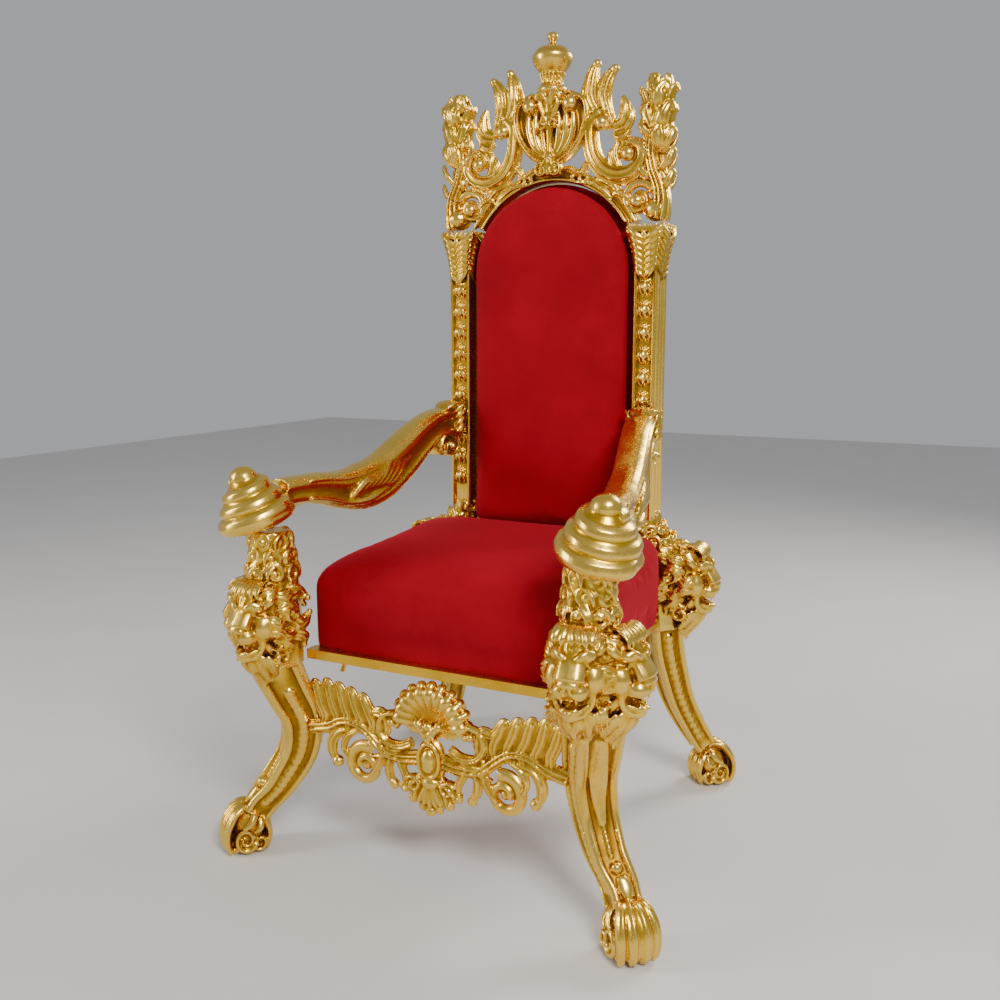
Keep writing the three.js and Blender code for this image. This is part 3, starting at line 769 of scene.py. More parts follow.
def paw():
    """A paw that rolls into volutes, toes towards -Y, standing on z = 0."""
    foot = Block()
    foot.ball((0, 2, 52), (48, 48, 50))
    foot.ball((0, 2, 22), (50, 50, 24))
    for k, x in enumerate((-39, -14, 14, 39)):
        reach = 1.0 if abs(x) < 20 else 0.86
        foot.sweep([(0.35 * x, 16, 104), (0.75 * x, -22 * reach, 102), (x, -50 * reach, 78),
            (1.05 * x, -62 * reach, 46), (x, -54 * reach, 15), (x * 0.95, -38 * reach, 8),
                    (x * 0.9, -30 * reach, 22)], swell(16, 0.5, 0.5), swell(14, 0.5, 0.5), (0, -1, 0.6),
                        LEAF2, 40)
    for x in (-26, 0, 26):
        foot.sweep([(0.5 * x, 22, 92), (x, 46, 70), (1.05 * x, 54, 38), (x, 44, 10), (x * 0.8, 30, 14)],
            swell(15, 0.5, 0.5), swell(12, 0.5), (0, 1, 0.3), LEAF2, 32)

    def half(side):
        foot.volute((side * 45, -8, 38), 30, 1.5, -0.4, side, ((0, 1, 0), (0, 0, 1)), taper(7.5, 4.5),
            12, ROUND, (8.5, side * 5))
        foot.volute((side * 42, 30, 28), 22, 1.3, 2.2, -side, ((0, 1, 0), (0, 0, 1)), taper(6, 4), 11,
            ROUND, (6.5, side * 5))
        foot.sweep([(side * 20, 22, 100), (side * 38, 16, 88), (side * 50, 2, 72),
            (side * 52, -16, 66)], swell(11, 0.3), swell(9, 0.3), (side, 0, 0.5), LEAF2, 24)
        foot.sweep([(side * 34, 34, 84), (side * 48, 30, 62), (side * 52, 14, 54)], swell(9, 0.3),
            swell(8, 0.3), (side, 0.3, 0.3), LEAF2, 20)
    both_sides(half)
    slim = Block()
    slim.include(foot, np.diag([0.80, 0.80, 0.94]))
    return slim


PAW = paw()


def tendril(block, centre, radius, outward, hand=1, start=0.0):
    """A small curling stem that lies on a surface facing outward."""
    outward = unit(np.asarray(outward, float))
    flat = unit(np.cross([0, 0, 1.0], outward))
    block.volute(centre, radius, 1.15, start, hand, (flat, np.cross(outward, flat)),
        taper(radius * 0.34, radius * 0.22), radius * 0.36, LEAF2,
                 (radius * 0.34, 0))


def front_leg():
    x, y = FRONT_POST[:2]
    leg = Block()
    path = [(x + 10, y + 6, 440), (x - 2, y + 34, 372), (x - 15, y + 60, 300), (x - 6, y + 62, 232),
        (x + 24, y + 42, 166), (x + 62, y + 22, 112), (x + 78, y + 6, 80)]
    shank(leg, path, 49, 28, (1, -1, 0))
    leg.sweep([(x + 4, y, NECK_TOP - 1), (x + 3, y, 680), (x, y + 4, 620), (x, y + 6, 540),
        (x + 4, y + 2, 440)], taper(42, 62), taper(42, 60), FRONT, ROUND, 20)
    leg.include(HEAD, about_z(6), (x - 4, y + 5, 540))
    leg.include(HEAD, about_z(84), (x + 4, y + 12, 532))
    for ring, (z, r, count) in enumerate(((702, 42, 7), (670, 44, 7), (638, 50, 8))):
        for k in range(count):
            a = 2 * np.pi * (k + 0.5 * (ring % 2)) / count
            way = np.array([math.cos(a), math.sin(a), 0.12])
            tendril(leg, (x + 2 + r * way[0], y + 2 + r * way[1], z), 19 + ring, way,
                1 if k % 2 else -1, 1.3 * k)
            leg.sweep([(x + 2 + r * way[0], y + 2 + r * way[1], z + 16),
                (x + 2 + (r + 5) * math.cos(a + 0.25), y + 2 + (r + 5) * math.sin(a + 0.25), z + 2),
                       (x + 2 + (r + 6) * math.cos(a + 0.3), y + 2 + (r + 6) * math.sin(a + 0.3),
                           z - 14)], swell(5.5, 0.3), 5, way, LEAF2, 14)
    leg.include(PAW, about_z(45), (x + 91, y - 6, 0))
    return leg


front_right = carve("front_leg_carved_right", front_leg(), 1.9, 1, 110000, flat_foot=True)
pair(front_right, "front_leg")
# %% [markdown]
# A rear leg is the same cabriole turned to the back corner, with one lion that looks out to the side. The back post
# stands on its mane, so the top of the mane flares up into the post.

# %% Rear legs
def rear_leg():
    x, y = REAR_POST[:2]
    leg = Block()
    path = [(x + 10, y - 6, 480), (x + 12, y + 2, 400), (x + 24, y + 26, 310), (x + 40, y + 48, 235),
        (x + 70, y + 82, 152), (x + 90, y + 108, 104)]
    shank(leg, path, 42, 26, (1, 1, 0), 17)
    leg.sweep([(238, 280, 705), (x - 26, y - 14, 668), (x - 10, y - 14, 620), (x, y - 12, 540),
        (x + 8, y - 8, 430)], taper(30, 56), taper(42, 54), FRONT, ROUND, 20)
    leg.include(HEAD, about_z(92), (x + 26, y - 14, 552))
    for ring, (z, r, count) in enumerate(((690, 38, 8), (664, 44, 8), (640, 52, 9))):
        for k in range(count):
            a = 2 * np.pi * (k + 0.5 * (ring % 2)) / count
            way = np.array([math.cos(a), math.sin(a), 0.1])
            centre = (238 + 14 * ring, 282, z)
            tendril(leg, np.array(centre) + r * way * [0.85, 1, 0], 16 + 1.5 * ring, way,
                1 if k % 2 else -1, 1.7 * k)
    leg.include(PAW, about_z(135), (x + 106, y + 130, 0))
    return leg


rear_right = carve("rear_leg_carved_right", rear_leg(), 2.0, 1, 78000, flat_foot=True)
pair(rear_right, "rear_leg")

# %% [markdown]
# Each arm is one long S. It leaves the back post in a leafy bracket, drops in a broad smooth bow with a scroll below,
# and ends in a rope that winds up into a beehive. The rope is one sweep along a helix that begins in the arm itself.

# %% Arms
ARM_FRONT = np.array([378.0, -377.0, 0.0])
ARM_BACK = np.array([245.0, 240.0, 0.0])
ARM_WAY = unit(ARM_BACK - ARM_FRONT)
ARM_OUT = np.array([ARM_WAY[1], -ARM_WAY[0], 0.0])


def on_arm(back, outwards, z):
    return ARM_FRONT + back * ARM_WAY + outwards * ARM_OUT + np.array([0, 0, z])


def arm_section():
    half = [(0, 1.0), (0.45, 0.97), (0.78, 0.84), (0.97, 0.6), (1.0, 0.36), (0.86, 0.12), (0.84, -0.18),
        (0.92, -0.42), (0.86, -0.72), (0.55, -0.94)]
    return np.array(half + [(0, -1.0)] + [(-x, z) for x, z in half[:0:-1]])[::-1]


def arm():
    wood = Block()
    run = [(60, 792, 30), (120, 793, 31), (170, 788, 36), (220, 779, 42), (290, 778, 54),
        (358, 795, 56), (424, 832, 54), (490, 876, 45), (545, 902, 36), (600, 904, 36), (628, 898, 40)]
    path = [on_arm(s, 0, z) for s, z, h in run]
    chord = np.r_[0, np.cumsum([np.linalg.norm(path[i + 1] - path[i]) for i in range(len(path) - 1)])]
    heights = np.array([h for _, _, h in run], float)
    deep = lambda t: np.interp(t * chord[-1], chord, heights)
    wood.sweep(path, lambda t: 30 + 5 * np.sin(np.pi * t), deep, (0, 0, 1), arm_section(), 90)
    for side in (-1, 1):
        for top in (1, -1):
            edge = [on_arm(s, side * 31, z + top * h * (0.66 if top > 0 else 0.6)) for s, z,
                h in run[1:]]
            wood.sweep(edge, 3.4, 3.4, (0, 0, 1), ROUND, 80)
    # the scroll under the back end
    along = np.array([ARM_WAY, [0, 0, 1]])
    wood.volute(on_arm(572, 0, 848), 37, 1.35, -2.6, -1, along, taper(9, 5), 35, ROUND)
    for side in (-1, 1):
        wood.ball(on_arm(574, side * 33, 848), 11)
    wood.ball(on_arm(574, 0, 848), (20, 30, 20))
    # the leaf on each side, and the bracket at the post
    for side in (-1, 1):
        for k in range(7):
            t = k / 6
            root = (232 + 64 * t, side * 28, 752 + 16 * t)
            bend = (276 + 78 * t, side * 38, 770 + 14 * t + 24 * (1 - t))
            tip = (326 + 92 * t, side * 30, 800 + 34 * t + 22 * (1 - abs(2 * t - 1)))
            wood.sweep([on_arm(*root), on_arm(*bend), on_arm(*tip)], swell(11, 0.3, 0.5),
                swell(8, 0.3, 0.5), ARM_OUT * side, LEAF2, 22)
        wood.sweep([on_arm(216, side * 26, 752), on_arm(270, side * 38, 752),
            on_arm(350, side * 36, 780), on_arm(430, side * 30, 836)], swell(9, 0.3), swell(8, 0.3),
            ARM_OUT * side, LEAF2, 30)
        for k in range(4):
            wood.sweep([on_arm(604, side * 10, 868 + 16 * k), on_arm(600, side * 30, 880 + 18 * k),
                on_arm(612, side * 42, 902 + 16 * k)], swell(12, 0.3), swell(8, 0.3), ARM_OUT * side,
                LEAF2, 18)
    for k in range(-2, 3):
        wood.sweep([on_arm(560 + 4 * abs(k), k * 7, 936), on_arm(592, k * 11, 952 - 2 * abs(k)),
            on_arm(622, k * 15, 956 - 5 * abs(k))], swell(9, 0.3), swell(7, 0.3), (0, 0, 1), LEAF2, 18)
    # the beehive
    up = unit(np.array([0.21, -0.21, 0.955]))
    right = unit(np.cross([0, 1.0, 0], up))
    back = np.cross(up, right)
    foot = np.array([372.0, -373.0, NECK_TOP + 8])
    turns = 3.1
    a = -np.linspace(0, turns * 2 * np.pi, 70)
    f = np.linspace(0, 1, 70)
    radius = 62 - 38 * f**1.25
    height = 16 + 84 * f
    rope = foot + radius[:, None] * (np.cos(a)[:, None] * right + np.sin(a)[:, None] * back) + height[:,
        None] * up
    entry = [on_arm(190, 12, 783), on_arm(150, 18, 780), on_arm(105, 24, 772), on_arm(62, 30, 762)]
    wood.sweep([*entry, *rope[2::3]], lambda t: 26 - 9 * t, lambda t: 23 - 8 * t, up, ROUND, 190)
    wood.ball(foot + up * 106, (29, 29, 25))
    core = np.stack([right, back, up], 1)
    wood.lathe([(0, 0), (58, 0), (74, 6), (80, 16), (70, 34), (62, 58), (46, 84), (28, 104), (0, 110)],
        48, foot, core)
    return wood


arm_right = carve("arm_carved_right", arm(), 2.2, 2, 36000)
pair(arm_right, "arm")

# %% [markdown]
# A back post is a pilaster: a sunk channel with a string of husks in front, three reeds outside, and a flared
# capital of herringbone leaves under a toothed band.

# %% Back posts
POST_IN, POST_OUT, POST_Y, POST_DEEP, POST_LOW, POST_TOP, CAP_TOP = 211.0, 265.0, 240.0, 80.0, 691.0, 1262.0, 1367.0


def back_post():
    post = Block()
    mid = (POST_IN + POST_OUT) / 2
    back = POST_Y + POST_DEEP
    post.box((POST_IN, POST_Y + 7, POST_LOW), (POST_OUT - 6, back, POST_TOP + 10))
    for x in (POST_IN + 5, POST_OUT - 5):
        post.sweep([(x, POST_Y + 5, POST_LOW), (x, POST_Y + 5, 980), (x, POST_Y + 5, POST_TOP + 6)], 5,
            5, FRONT, ROUND, 60)
    for k in range(3):
        y = POST_Y + 20 + 22 * k
        post.sweep([(POST_OUT - 6, y, POST_LOW), (POST_OUT - 6, y, 980),
            (POST_OUT - 6, y, POST_TOP + 6)], 10, 7, FRONT, ROUND, 60)
    husks = 10
    for k in range(husks):
        z = POST_TOP - 30 - k * (POST_TOP - POST_LOW - 60) / husks
        y = POST_Y + 4
        post.ball((mid, y, z + 10), (5, 5, 5), None, 10, 6)
        post.sweep([(mid, y, z + 6), (mid, y - 5, z - 8), (mid, y, z - 26)], swell(6.5, 0.3, 0.35),
            swell(6, 0.3, 0.35), FRONT, LEAF2, 14)
        for s in (-1, 1):
            post.sweep([(mid, y + 2, z + 6), (mid + s * 9, y - 3, z - 4), (mid + s * 11, y + 1, z - 18),
                (mid + s * 6, y + 3, z - 26)], swell(5, 0.3, 0.4), swell(5, 0.3, 0.4), FRONT, ROUND,
                14)
            post.ball((mid + s * 8, y + 2, z + 8), 3, None, 8, 6)
    # capital
    cy = POST_Y + POST_DEEP / 2
    steps = 7
    for k in range(steps):
        t = k / (steps - 1)
        grow = 16 * t**1.6
        z = POST_TOP - 4 + t * 84
        post.box((POST_IN - grow + 2, POST_Y - grow * 0.7 + 2, z),
            (POST_OUT + grow - 2, back + grow * 0.5, z + 16))
        for s in (-1, 1):
            post.sweep([(mid, POST_Y - grow * 0.7 - 1, z - 12),
                (mid + s * (11 + grow * 0.5), POST_Y - grow * 0.7 - 5, z - 2),
                (mid + s * (25 + grow), POST_Y - grow * 0.7 - 2, z + 16)],
                       swell(7, 0.4), swell(6, 0.3), FRONT, LEAF2, 16)
            for out, way in ((POST_OUT + grow, 1), (POST_IN - grow, -1)):
                post.sweep([(out - way, cy, z - 12), (out + way * 3, cy + s * (16 + grow * 0.4), z - 2),
                    (out, cy + s * (36 + grow * 0.5), z + 16)], swell(8, 0.4), swell(5, 0.3),
                    (way, 0, 0), LEAF2, 16)
        post.ball((mid, POST_Y - grow * 0.7 - 3, z), (5, 5, 8), None, 10, 8)
    low, high = np.array([POST_IN - 17, POST_Y - 11, 1346.0]), np.array([POST_OUT + 17, back + 10,
        1357.0])
    post.box(low, high)
    post.box(low + [3, 3, -7], high - [3, 3, 4])
    teeth = 7
    for k in range(teeth):
        a, b = k / teeth, (k + 1) / teeth
        for y in (low[1], high[1] - 8):
            x0, x1 = low[0] + a * (high[0] - low[0]), low[0] + b * (high[0] - low[0])
            post.slab([(x0, 1355), (x1, 1355), ((x0 + x1) / 2, CAP_TOP)], y, 8)
        for x in (low[0], high[0] - 8):
            y0, y1 = low[1] + a * (high[1] - low[1]), low[1] + b * (high[1] - low[1])
            tooth = Block()
            tooth.slab([(y0, 1355), (y1, 1355), ((y0 + y1) / 2, CAP_TOP)], 0, 8)
            post.include(tooth, np.array([[0, 1, 0], [1, 0, 0], [0, 0, 1.0]]), (x, 0, 0))
    return post


post_right = carve("back_post_carved_right", back_post(), 1.7, 1, 46000)
pair(post_right, "back_post")

# %% [markdown]
# The crest is pierced work: two S-scrolls with a ball in each eye and a feather on top, a fluted shield between them,
# and a corner plume on each capital. An arched rail carries it all and frames the upholstery.

# %% Crest
def flat(points, y=CREST_Y, lift=0.0):
    return [(x, y - lift, z) for x, z in points]


def crest_scroll(b):
    y = CREST_Y - 4
    stem = [(131, 1578), (143, 1588), (139, 1606), (119, 1614), (102, 1600), (96, 1562), (104, 1520),
        (128, 1488), (165, 1473), (203, 1483), (221, 1512), (210, 1538), (186, 1543), (171, 1528),
        (176, 1512)]
    b.sweep(flat(stem, y), lambda t: 7 + 15 * np.sin(np.pi * t) ** 0.8,
        lambda t: 15 + 11 * np.sin(np.pi * t), FRONT, LEAF3, 120)
    b.sweep(flat(stem[3:13], y), lambda t: 6 + 9 * np.sin(np.pi * t), 22, FRONT, ROUND, 70)
    b.ball((124, y - 12, 1590), 17)
    b.ball((188, y - 12, 1519), 17)
    for (x0, z0), (x1, z1), (x2, z2), (x3, z3), w in (((120, 1606), (98, 1640), (98, 1690), (108, 1722),
            19), ((140, 1604), (128, 1646), (134, 1680), (152, 1708), 18),
            ((108, 1606), (88, 1630), (82, 1662), (88, 1692), 11)):
        b.sweep(flat([(x0, z0), (x1, z1), (x2, z2), (x3, z3)], y, 4), swell(w, 0.45, 0.6),
            swell(18, 0.4, 0.5), FRONT, LEAF3, 36)
        b.ball((x3, y - 4, z3 - 3), (w * 0.55, 11, w * 0.55))
    for points, w in (([(146, 1582), (172, 1592), (178, 1620), (170, 1646)], 16),
        ([(150, 1570), (182, 1580), (192, 1604), (190, 1622)], 12),
        ([(150, 1566), (160, 1556), (178, 1560), (192, 1574)], 10),
                      ([(170, 1486), (158, 1508), (156, 1532), (164, 1556)], 9),
                              ([(160, 1486), (146, 1500), (142, 1518), (146, 1534)], 7),
                              ([(104, 1516), (86, 1502), (74, 1486), (58, 1480)], 9)):
        b.sweep(flat(points, y, 3), swell(w, 0.3, 0.5), swell(13, 0.35, 0.5), FRONT, LEAF2, 28)


def crest_shield(b):
    y = CREST_Y - 12
    outline = [(0, 1508), (34, 1520), (62, 1545), (82, 1580), (88, 1615), (80, 1645), (60, 1656),
        (30, 1650)]
    edge = smooth_path([(x, 0, z) for x, z in outline], 40)[:, [0, 2]]
    b.slab([*edge, *(edge[::-1] * [-1, 1])[:-1]], y, 30)
    for s in (-1, 1):
        rim = [(s * x, z) for x, z in outline[:-1]] + [(s * 44, 1662), (s * 30, 1646), (s * 40, 1626),
            (s * 56, 1624)]
        b.sweep(flat(rim, y, 2), lambda t: 9 - 3 * t, lambda t: 20 - 4 * t, FRONT, LEAF2, 90)
        b.ball((s * 50, y - 14, 1638), 18)
        for k in range(3):
            x = 20 + 18 * k
            b.sweep(flat([(s * 6, 1520), (s * x * 0.75, 1548), (s * x, 1585), (s * (x - 1), 1618),
                (s * (x - 8), 1638)], y, 3), swell(8.5, 0.35, 0.6), swell(12, 0.4, 0.6), FRONT, ROUND,
                34)
        b.volute((s * 15, y - 26, 1592), 11, 1.1, 0.5, s, wide=taper(3.2, 2.2), deep=8, eye=(3.5, 2))
        b.sweep(flat([(s * 6, 1604), (s * 14, 1622), (s * 22, 1644), (s * 14, 1660)], y, 18),
            swell(7, 0.4), 9, FRONT, LEAF2, 20)
        b.sweep(flat([(s * 4, 1650), (s * 14, 1664), (s * 26, 1660), (s * 30, 1648)], y, 22),
            swell(8, 0.4), 8, FRONT, ROUND, 18)
        b.sweep(flat([(s * 24, 1498), (s * 44, 1496), (s * 66, 1486), (s * 92, 1486)], y, -4),
            swell(9, 0.3), swell(12, 0.4), FRONT, LEAF2, 26)
        b.volute((s * 16, y - 16, 1494), 17, 1.2, 1.6, -s, wide=taper(5, 3), deep=13, eye=(5, 3))
    b.lathe([(0, 0), (9, 1), (12, 8), (7, 16), (6, 36), (9, 62), (13, 78), (15, 92), (10, 102),
        (12, 118), (18, 134), (0, 140)], 24, (0, y - 14, 1518))
    b.ball((0, y - 12, 1500), (26, 16, 20))
    for k in (-1, 0, 1):
        b.sweep(flat([(k * 4, 1522), (k * 14, 1504), (k * 20, 1482)], y, 20), swell(7, 0.4), 7, FRONT,
            LEAF2, 16)


def arch_rail(b):
    spring, inner = 1262.0, 208.0
    for radius, wide, deep, y in ((inner + 13, 13.0, 26.0, 292.0), (inner + 5, 5.0, 8.0, 262.0),
            (inner + 25, 4.5, 7.0, 262.0)):
        rise = math.asin((CAP_TOP + 4 - spring) / radius)
        angle = np.linspace(rise, np.pi - rise, 30)
        b.sweep([(radius * math.cos(a), y, spring + radius * math.sin(a)) for a in angle], wide, deep,
            FRONT,
                np.array([(-1, -1), (1, -1), (1, 1), (-1, 1)], float) if wide > 10 else ROUND, 120)


def crest():
    b = Block()
    arch_rail(b)
    right = Block()
    crest_scroll(right)
    for points, w in (([(66, 1466), (96, 1462), (124, 1446), (150, 1424)], 10),
            ([(112, 1470), (138, 1462), (160, 1444), (176, 1420)], 12),
            ([(150, 1432), (166, 1436), (186, 1424), (196, 1404)], 10),
            ([(140, 1446), (150, 1460), (170, 1462), (184, 1452)], 8)):
        right.sweep([(x, 262, z) for x, z in points], swell(w, 0.3, 0.5), swell(14, 0.4, 0.5), FRONT,
            LEAF3, 30)
    for k, (x, z) in enumerate(((52, 1478), (70, 1472), (86, 1466))):
        right.ball((x, 256, z), 6 - k)
    b.include(right)
    b.include(right.mirrored())
    crest_shield(b)
    return b


fitted(carve("crest_carved", crest(), 1.8, 1, 92000), "crest")

# %% [markdown]
# A plume stands on each back post. It is a stem with rows of curled leaves round it, each leaf a swept and fluted
# form that leaves the stem low down and turns its tip over, and the rows get smaller towards the top.

# %% Corner plumes
def plume():
    b = Block()
    y = CREST_Y + 4
    b.volute((212, y - 10, 1420), 40, 1.3, 0.5, 1, wide=taper(12, 6), deep=22, section=LEAF3)
    b.ball((211, y - 20, 1415), 17)
    b.ball((252, y, 1396), (30, 34, 26))
    b.sweep([(258, y, 1374), (264, y, 1400), (262, y, 1440), (244, y, 1488), (238, y, 1530),
        (250, y, 1580), (256, y, 1622)], lambda t: 27 - 10 * np.sin(np.pi * t), lambda t: 33 - 8 * t,
        FRONT, LEAF4, 80)
    b.sweep([(254, y + 8, 1380), (258, y + 10, 1440), (246, y + 10, 1500), (244, y + 10, 1560),
        (254, y + 8, 1620)], 20, 24, (1, 0, 0), LEAF4, 60)
    b.ball((255, y, 1596), (33, 29, 56))
    rows = ((1520, 7, 50, 26, 19), (1560, 7, 54, 32, 20), (1600, 7, 54, 34, 19), (1632, 6, 44, 22, 17))
    for row, (z, count, rise, reach, width) in enumerate(rows):
        for k in range(count):
            a = 2 * np.pi * (k + 0.5 * (row % 2)) / count
            way = np.array([math.cos(a), math.sin(a), 0])
            c = np.array([252.0, y, z])
            flare = reach * (1.0 if row < 3 else 0.8)
            turn = np.array([-way[1], way[0], 0]) * (8 if k % 2 else -8)
            tip = np.array([c[0] + way[0] * flare * 1.15, c[1] + way[1] * flare * 0.8, z + rise])
            tip = np.minimum(tip, [298, 400, 1700])
            b.sweep([c + way * 8, c + way * (reach * 0.62) + [0, 0, rise * 0.32] + turn * 0.4,
                c + way * (reach * 0.8) + [0, 0, rise * 0.7] + turn, tip + turn * 0.4,
                tip + way * 5 - [0, 0, 9]],
                    swell(width, 0.4, 0.5), swell(width * 0.6, 0.4, 0.5), way + np.array([0, 0, -0.2]),
                        LEAF3, 30)
    for z in (1436, 1482, 1524):
        b.sweep([(262, y - 12, z), (280, y - 14, z + 22), (290, y - 8, z + 40), (294, y - 2, z + 34)],
            swell(11, 0.4), swell(10, 0.4), (1, -0.5, 0), LEAF2, 24)
        b.sweep([(262, y + 22, z), (278, y + 30, z + 20), (284, y + 32, z + 38)], swell(11, 0.4),
            swell(8, 0.4), (1, 0.6, 0), LEAF2, 20)
        b.sweep([(236, y - 20, z + 30), (222, y - 26, z + 46), (216, y - 20, z + 66)], swell(9, 0.4),
            swell(8, 0.4), (-0.4, -1, 0), LEAF2, 20)
    return b


plume_right = carve("plume_carved_right", plume(), 1.8, 1, 40000)
pair(plume_right, "plume")

# %% [markdown]
# The urn over the crest is a turned form, so its profile is spun round one axis.

# %% Urn finial
def urn():
    b = Block()
    profile = [(0, 0), (29, 0), (33, 3), (35, 8), (33, 13), (28, 17), (24, 22), (22, 30), (23, 38),
        (27, 44), (34, 52), (40, 60), (45, 69), (47, 77), (46.5, 83), (44, 86),
               (41, 88), (40, 91), (35, 97), (26, 102), (14, 106), (8, 109), (6.5, 113), (8, 116),
                   (12, 120), (13, 125), (11, 130), (7, 134), (0, 136)]
    centre = (0, CREST_Y - 12, 1664)
    b.lathe(profile, 64, centre)
    for k in range(18):
        a = 2 * np.pi * k / 18
        b.sweep([(23 * math.cos(a), CREST_Y - 12 + 23 * math.sin(a), 1684),
            (24 * math.cos(a), CREST_Y - 12 + 24 * math.sin(a), 1694),
            (28 * math.cos(a), CREST_Y - 12 + 28 * math.sin(a), 1708)], 2.6, 2.6,
            (math.cos(a), math.sin(a), 0), ROUND, 10)
    return b


fitted(carve("urn_carved", urn(), 1.5, 1, 18000), "urn_finial")
# %% [markdown]
# Below the seat hangs an open apron. A scallop shell stands over a cabochon, C-scrolls flank it, and an acanthus
# branch runs out to each leg with upright leaves above and club-ended curls below.

# %% Front apron
def apron_half(b):
    y = APRON_Y
    b.sweep(flat([(26, 268), (70, 262), (110, 268), (140, 292), (176, 316), (214, 318), (252, 300),
        (300, 288)], y), lambda t: 18 - 3 * np.sin(np.pi * t), 18, FRONT, LEAF3, 70)
    b.volute((163, y - 4, 226), 43, 1.35, 1.9, -1, wide=taper(15, 8), deep=17, section=LEAF3,
        eye=(12, 8))
    b.sweep(flat([(120, 292), (118, 262), (130, 232), (150, 206)], y, 4), swell(11, 0.4), 12, FRONT,
        LEAF2, 26)
    for k in range(6):
        x = 118 + 30 * k
        tall = (352, 384, 392, 398, 402, 396)[k]
        b.sweep(flat([(x - 2, 296), (x - 8, 320), (x + 2, 348), (x + 20, tall - 8),
            (x + 27, tall - 22)], y, 5), swell(16, 0.35, 0.5), swell(12, 0.4, 0.5), FRONT, LEAF3, 34)
    b.sweep(flat([(196, 300), (226, 290), (244, 266), (240, 232), (228, 220)], y, 4),
        swell(13, 0.35, 0.6), swell(13, 0.5, 0.6), FRONT, LEAF2, 36)
    b.ball((232, y - 4, 222), (13, 13, 13))
    b.sweep(flat([(180, 300), (206, 282), (214, 258), (204, 236)], y, 6), swell(9, 0.4), 11, FRONT,
        LEAF2, 26)
    b.sweep(flat([(96, 262), (104, 240), (100, 214), (88, 200)], y, 2), swell(11, 0.4, 0.6), 12, FRONT,
        LEAF2, 28)
    b.ball((92, y - 2, 198), (11, 12, 11))
    b.sweep(flat([(84, 270), (70, 244), (62, 222), (66, 204)], y, 6), swell(10, 0.4), 11, FRONT, LEAF2,
        26)
    # C-scroll beside the shell
    b.sweep(flat([(44, 300), (72, 288), (104, 292), (122, 318), (112, 346), (88, 354), (74, 340),
        (82, 326)], y, 6), lambda t: 12 - 6 * t, lambda t: 17 - 5 * t, FRONT, LEAF3, 60)
    b.ball((92, y - 14, 336), 9)
    for k in range(4):
        b.sweep(flat([(50 + 10 * k, 290 - 6 * k), (72 + 14 * k, 282 - 8 * k),
            (104 + 12 * k, 290 - 12 * k)], y, 6), swell(6, 0.4), 10, FRONT, LEAF2, 22)
    # palmette below
    for k, (x, z) in enumerate(((20, 160), (44, 172), (64, 192))):
        b.sweep(flat([(10 + 6 * k, 226 + 4 * k), (x * 0.7, 204 + 4 * k), (x, z + 8), (x + 6, z + 18)],
            y, 8), swell(11, 0.4, 0.6), 12, FRONT, LEAF2, 26)
        b.ball((x, y - 8, z + 6), 9)
    b.volute((40, y - 10, 214), 18, 1.2, 0.4, 1, wide=taper(5, 3.5), deep=12, eye=(6, 3))
    b.ball((272, y, 292), (34, 15, 16))


def front_apron():
    y = APRON_Y
    b = Block()
    right = Block()
    apron_half(right)
    b.include(right)
    b.include(right.mirrored())
    rays = 11
    for k in range(rays):
        a = math.pi * (k + 0.5) / rays
        c, s = math.cos(a), math.sin(a)
        b.sweep([(8 * c, y - 2, 338 + 6 * s), (40 * c, y - 6, 340 + 40 * s),
            (74 * c, y - 16, 342 + 70 * s), (86 * c, y - 6, 343 + 84 * s)], swell(12.5, 0.12, 0.85),
            swell(12, 0.4, 0.8), (0, -1, 0), ROUND, 26)
        b.ball((84 * c, y - 4, 343 + 82 * s), (11, 13, 11))
    fan = [(80 * math.cos(t), 342 + 78 * math.sin(t)) for t in np.linspace(0, math.pi, 24)]
    b.slab([*fan, (-50, 318), (50, 318)], y - 2, 14)
    for x, z in ((0, 346), (-14, 340), (14, 340), (-24, 348), (24, 348), (-7, 330), (7, 330), (0, 320)):
        b.ball((x, y - 22, z), 9.5)
    b.ball((0, y - 6, 268), (34, 18, 52))
    b.sweep([(24 * math.cos(t), y - 20, 272 + 36 * math.sin(t)) for t in np.linspace(0, 2 * np.pi, 16)],
        4.5, 5, FRONT, ROUND, 48)
    b.ball((0, y - 22, 272), (16, 12, 26))
    b.ball((0, y - 14, 224), (20, 14, 14))
    for k in range(-2, 3):
        b.sweep(flat([(k * 5, 216), (k * 9, 196), (k * 13, 172 + 4 * abs(k))], y, 12),
            swell(8, 0.4, 0.7), 11, FRONT, ROUND, 20)
    b.ball((0, y - 10, 162), (13, 13, 13))
    b.ball((0, y - 4, 210), (52, 12, 34))
    return b


fitted(carve("apron_front_carved", front_apron(), 1.8, 1, 72000), "apron_front")

# %% [markdown]
# The side and back aprons are seen less, so the carver kept them plain: one low festoon of scrolls under each rail.

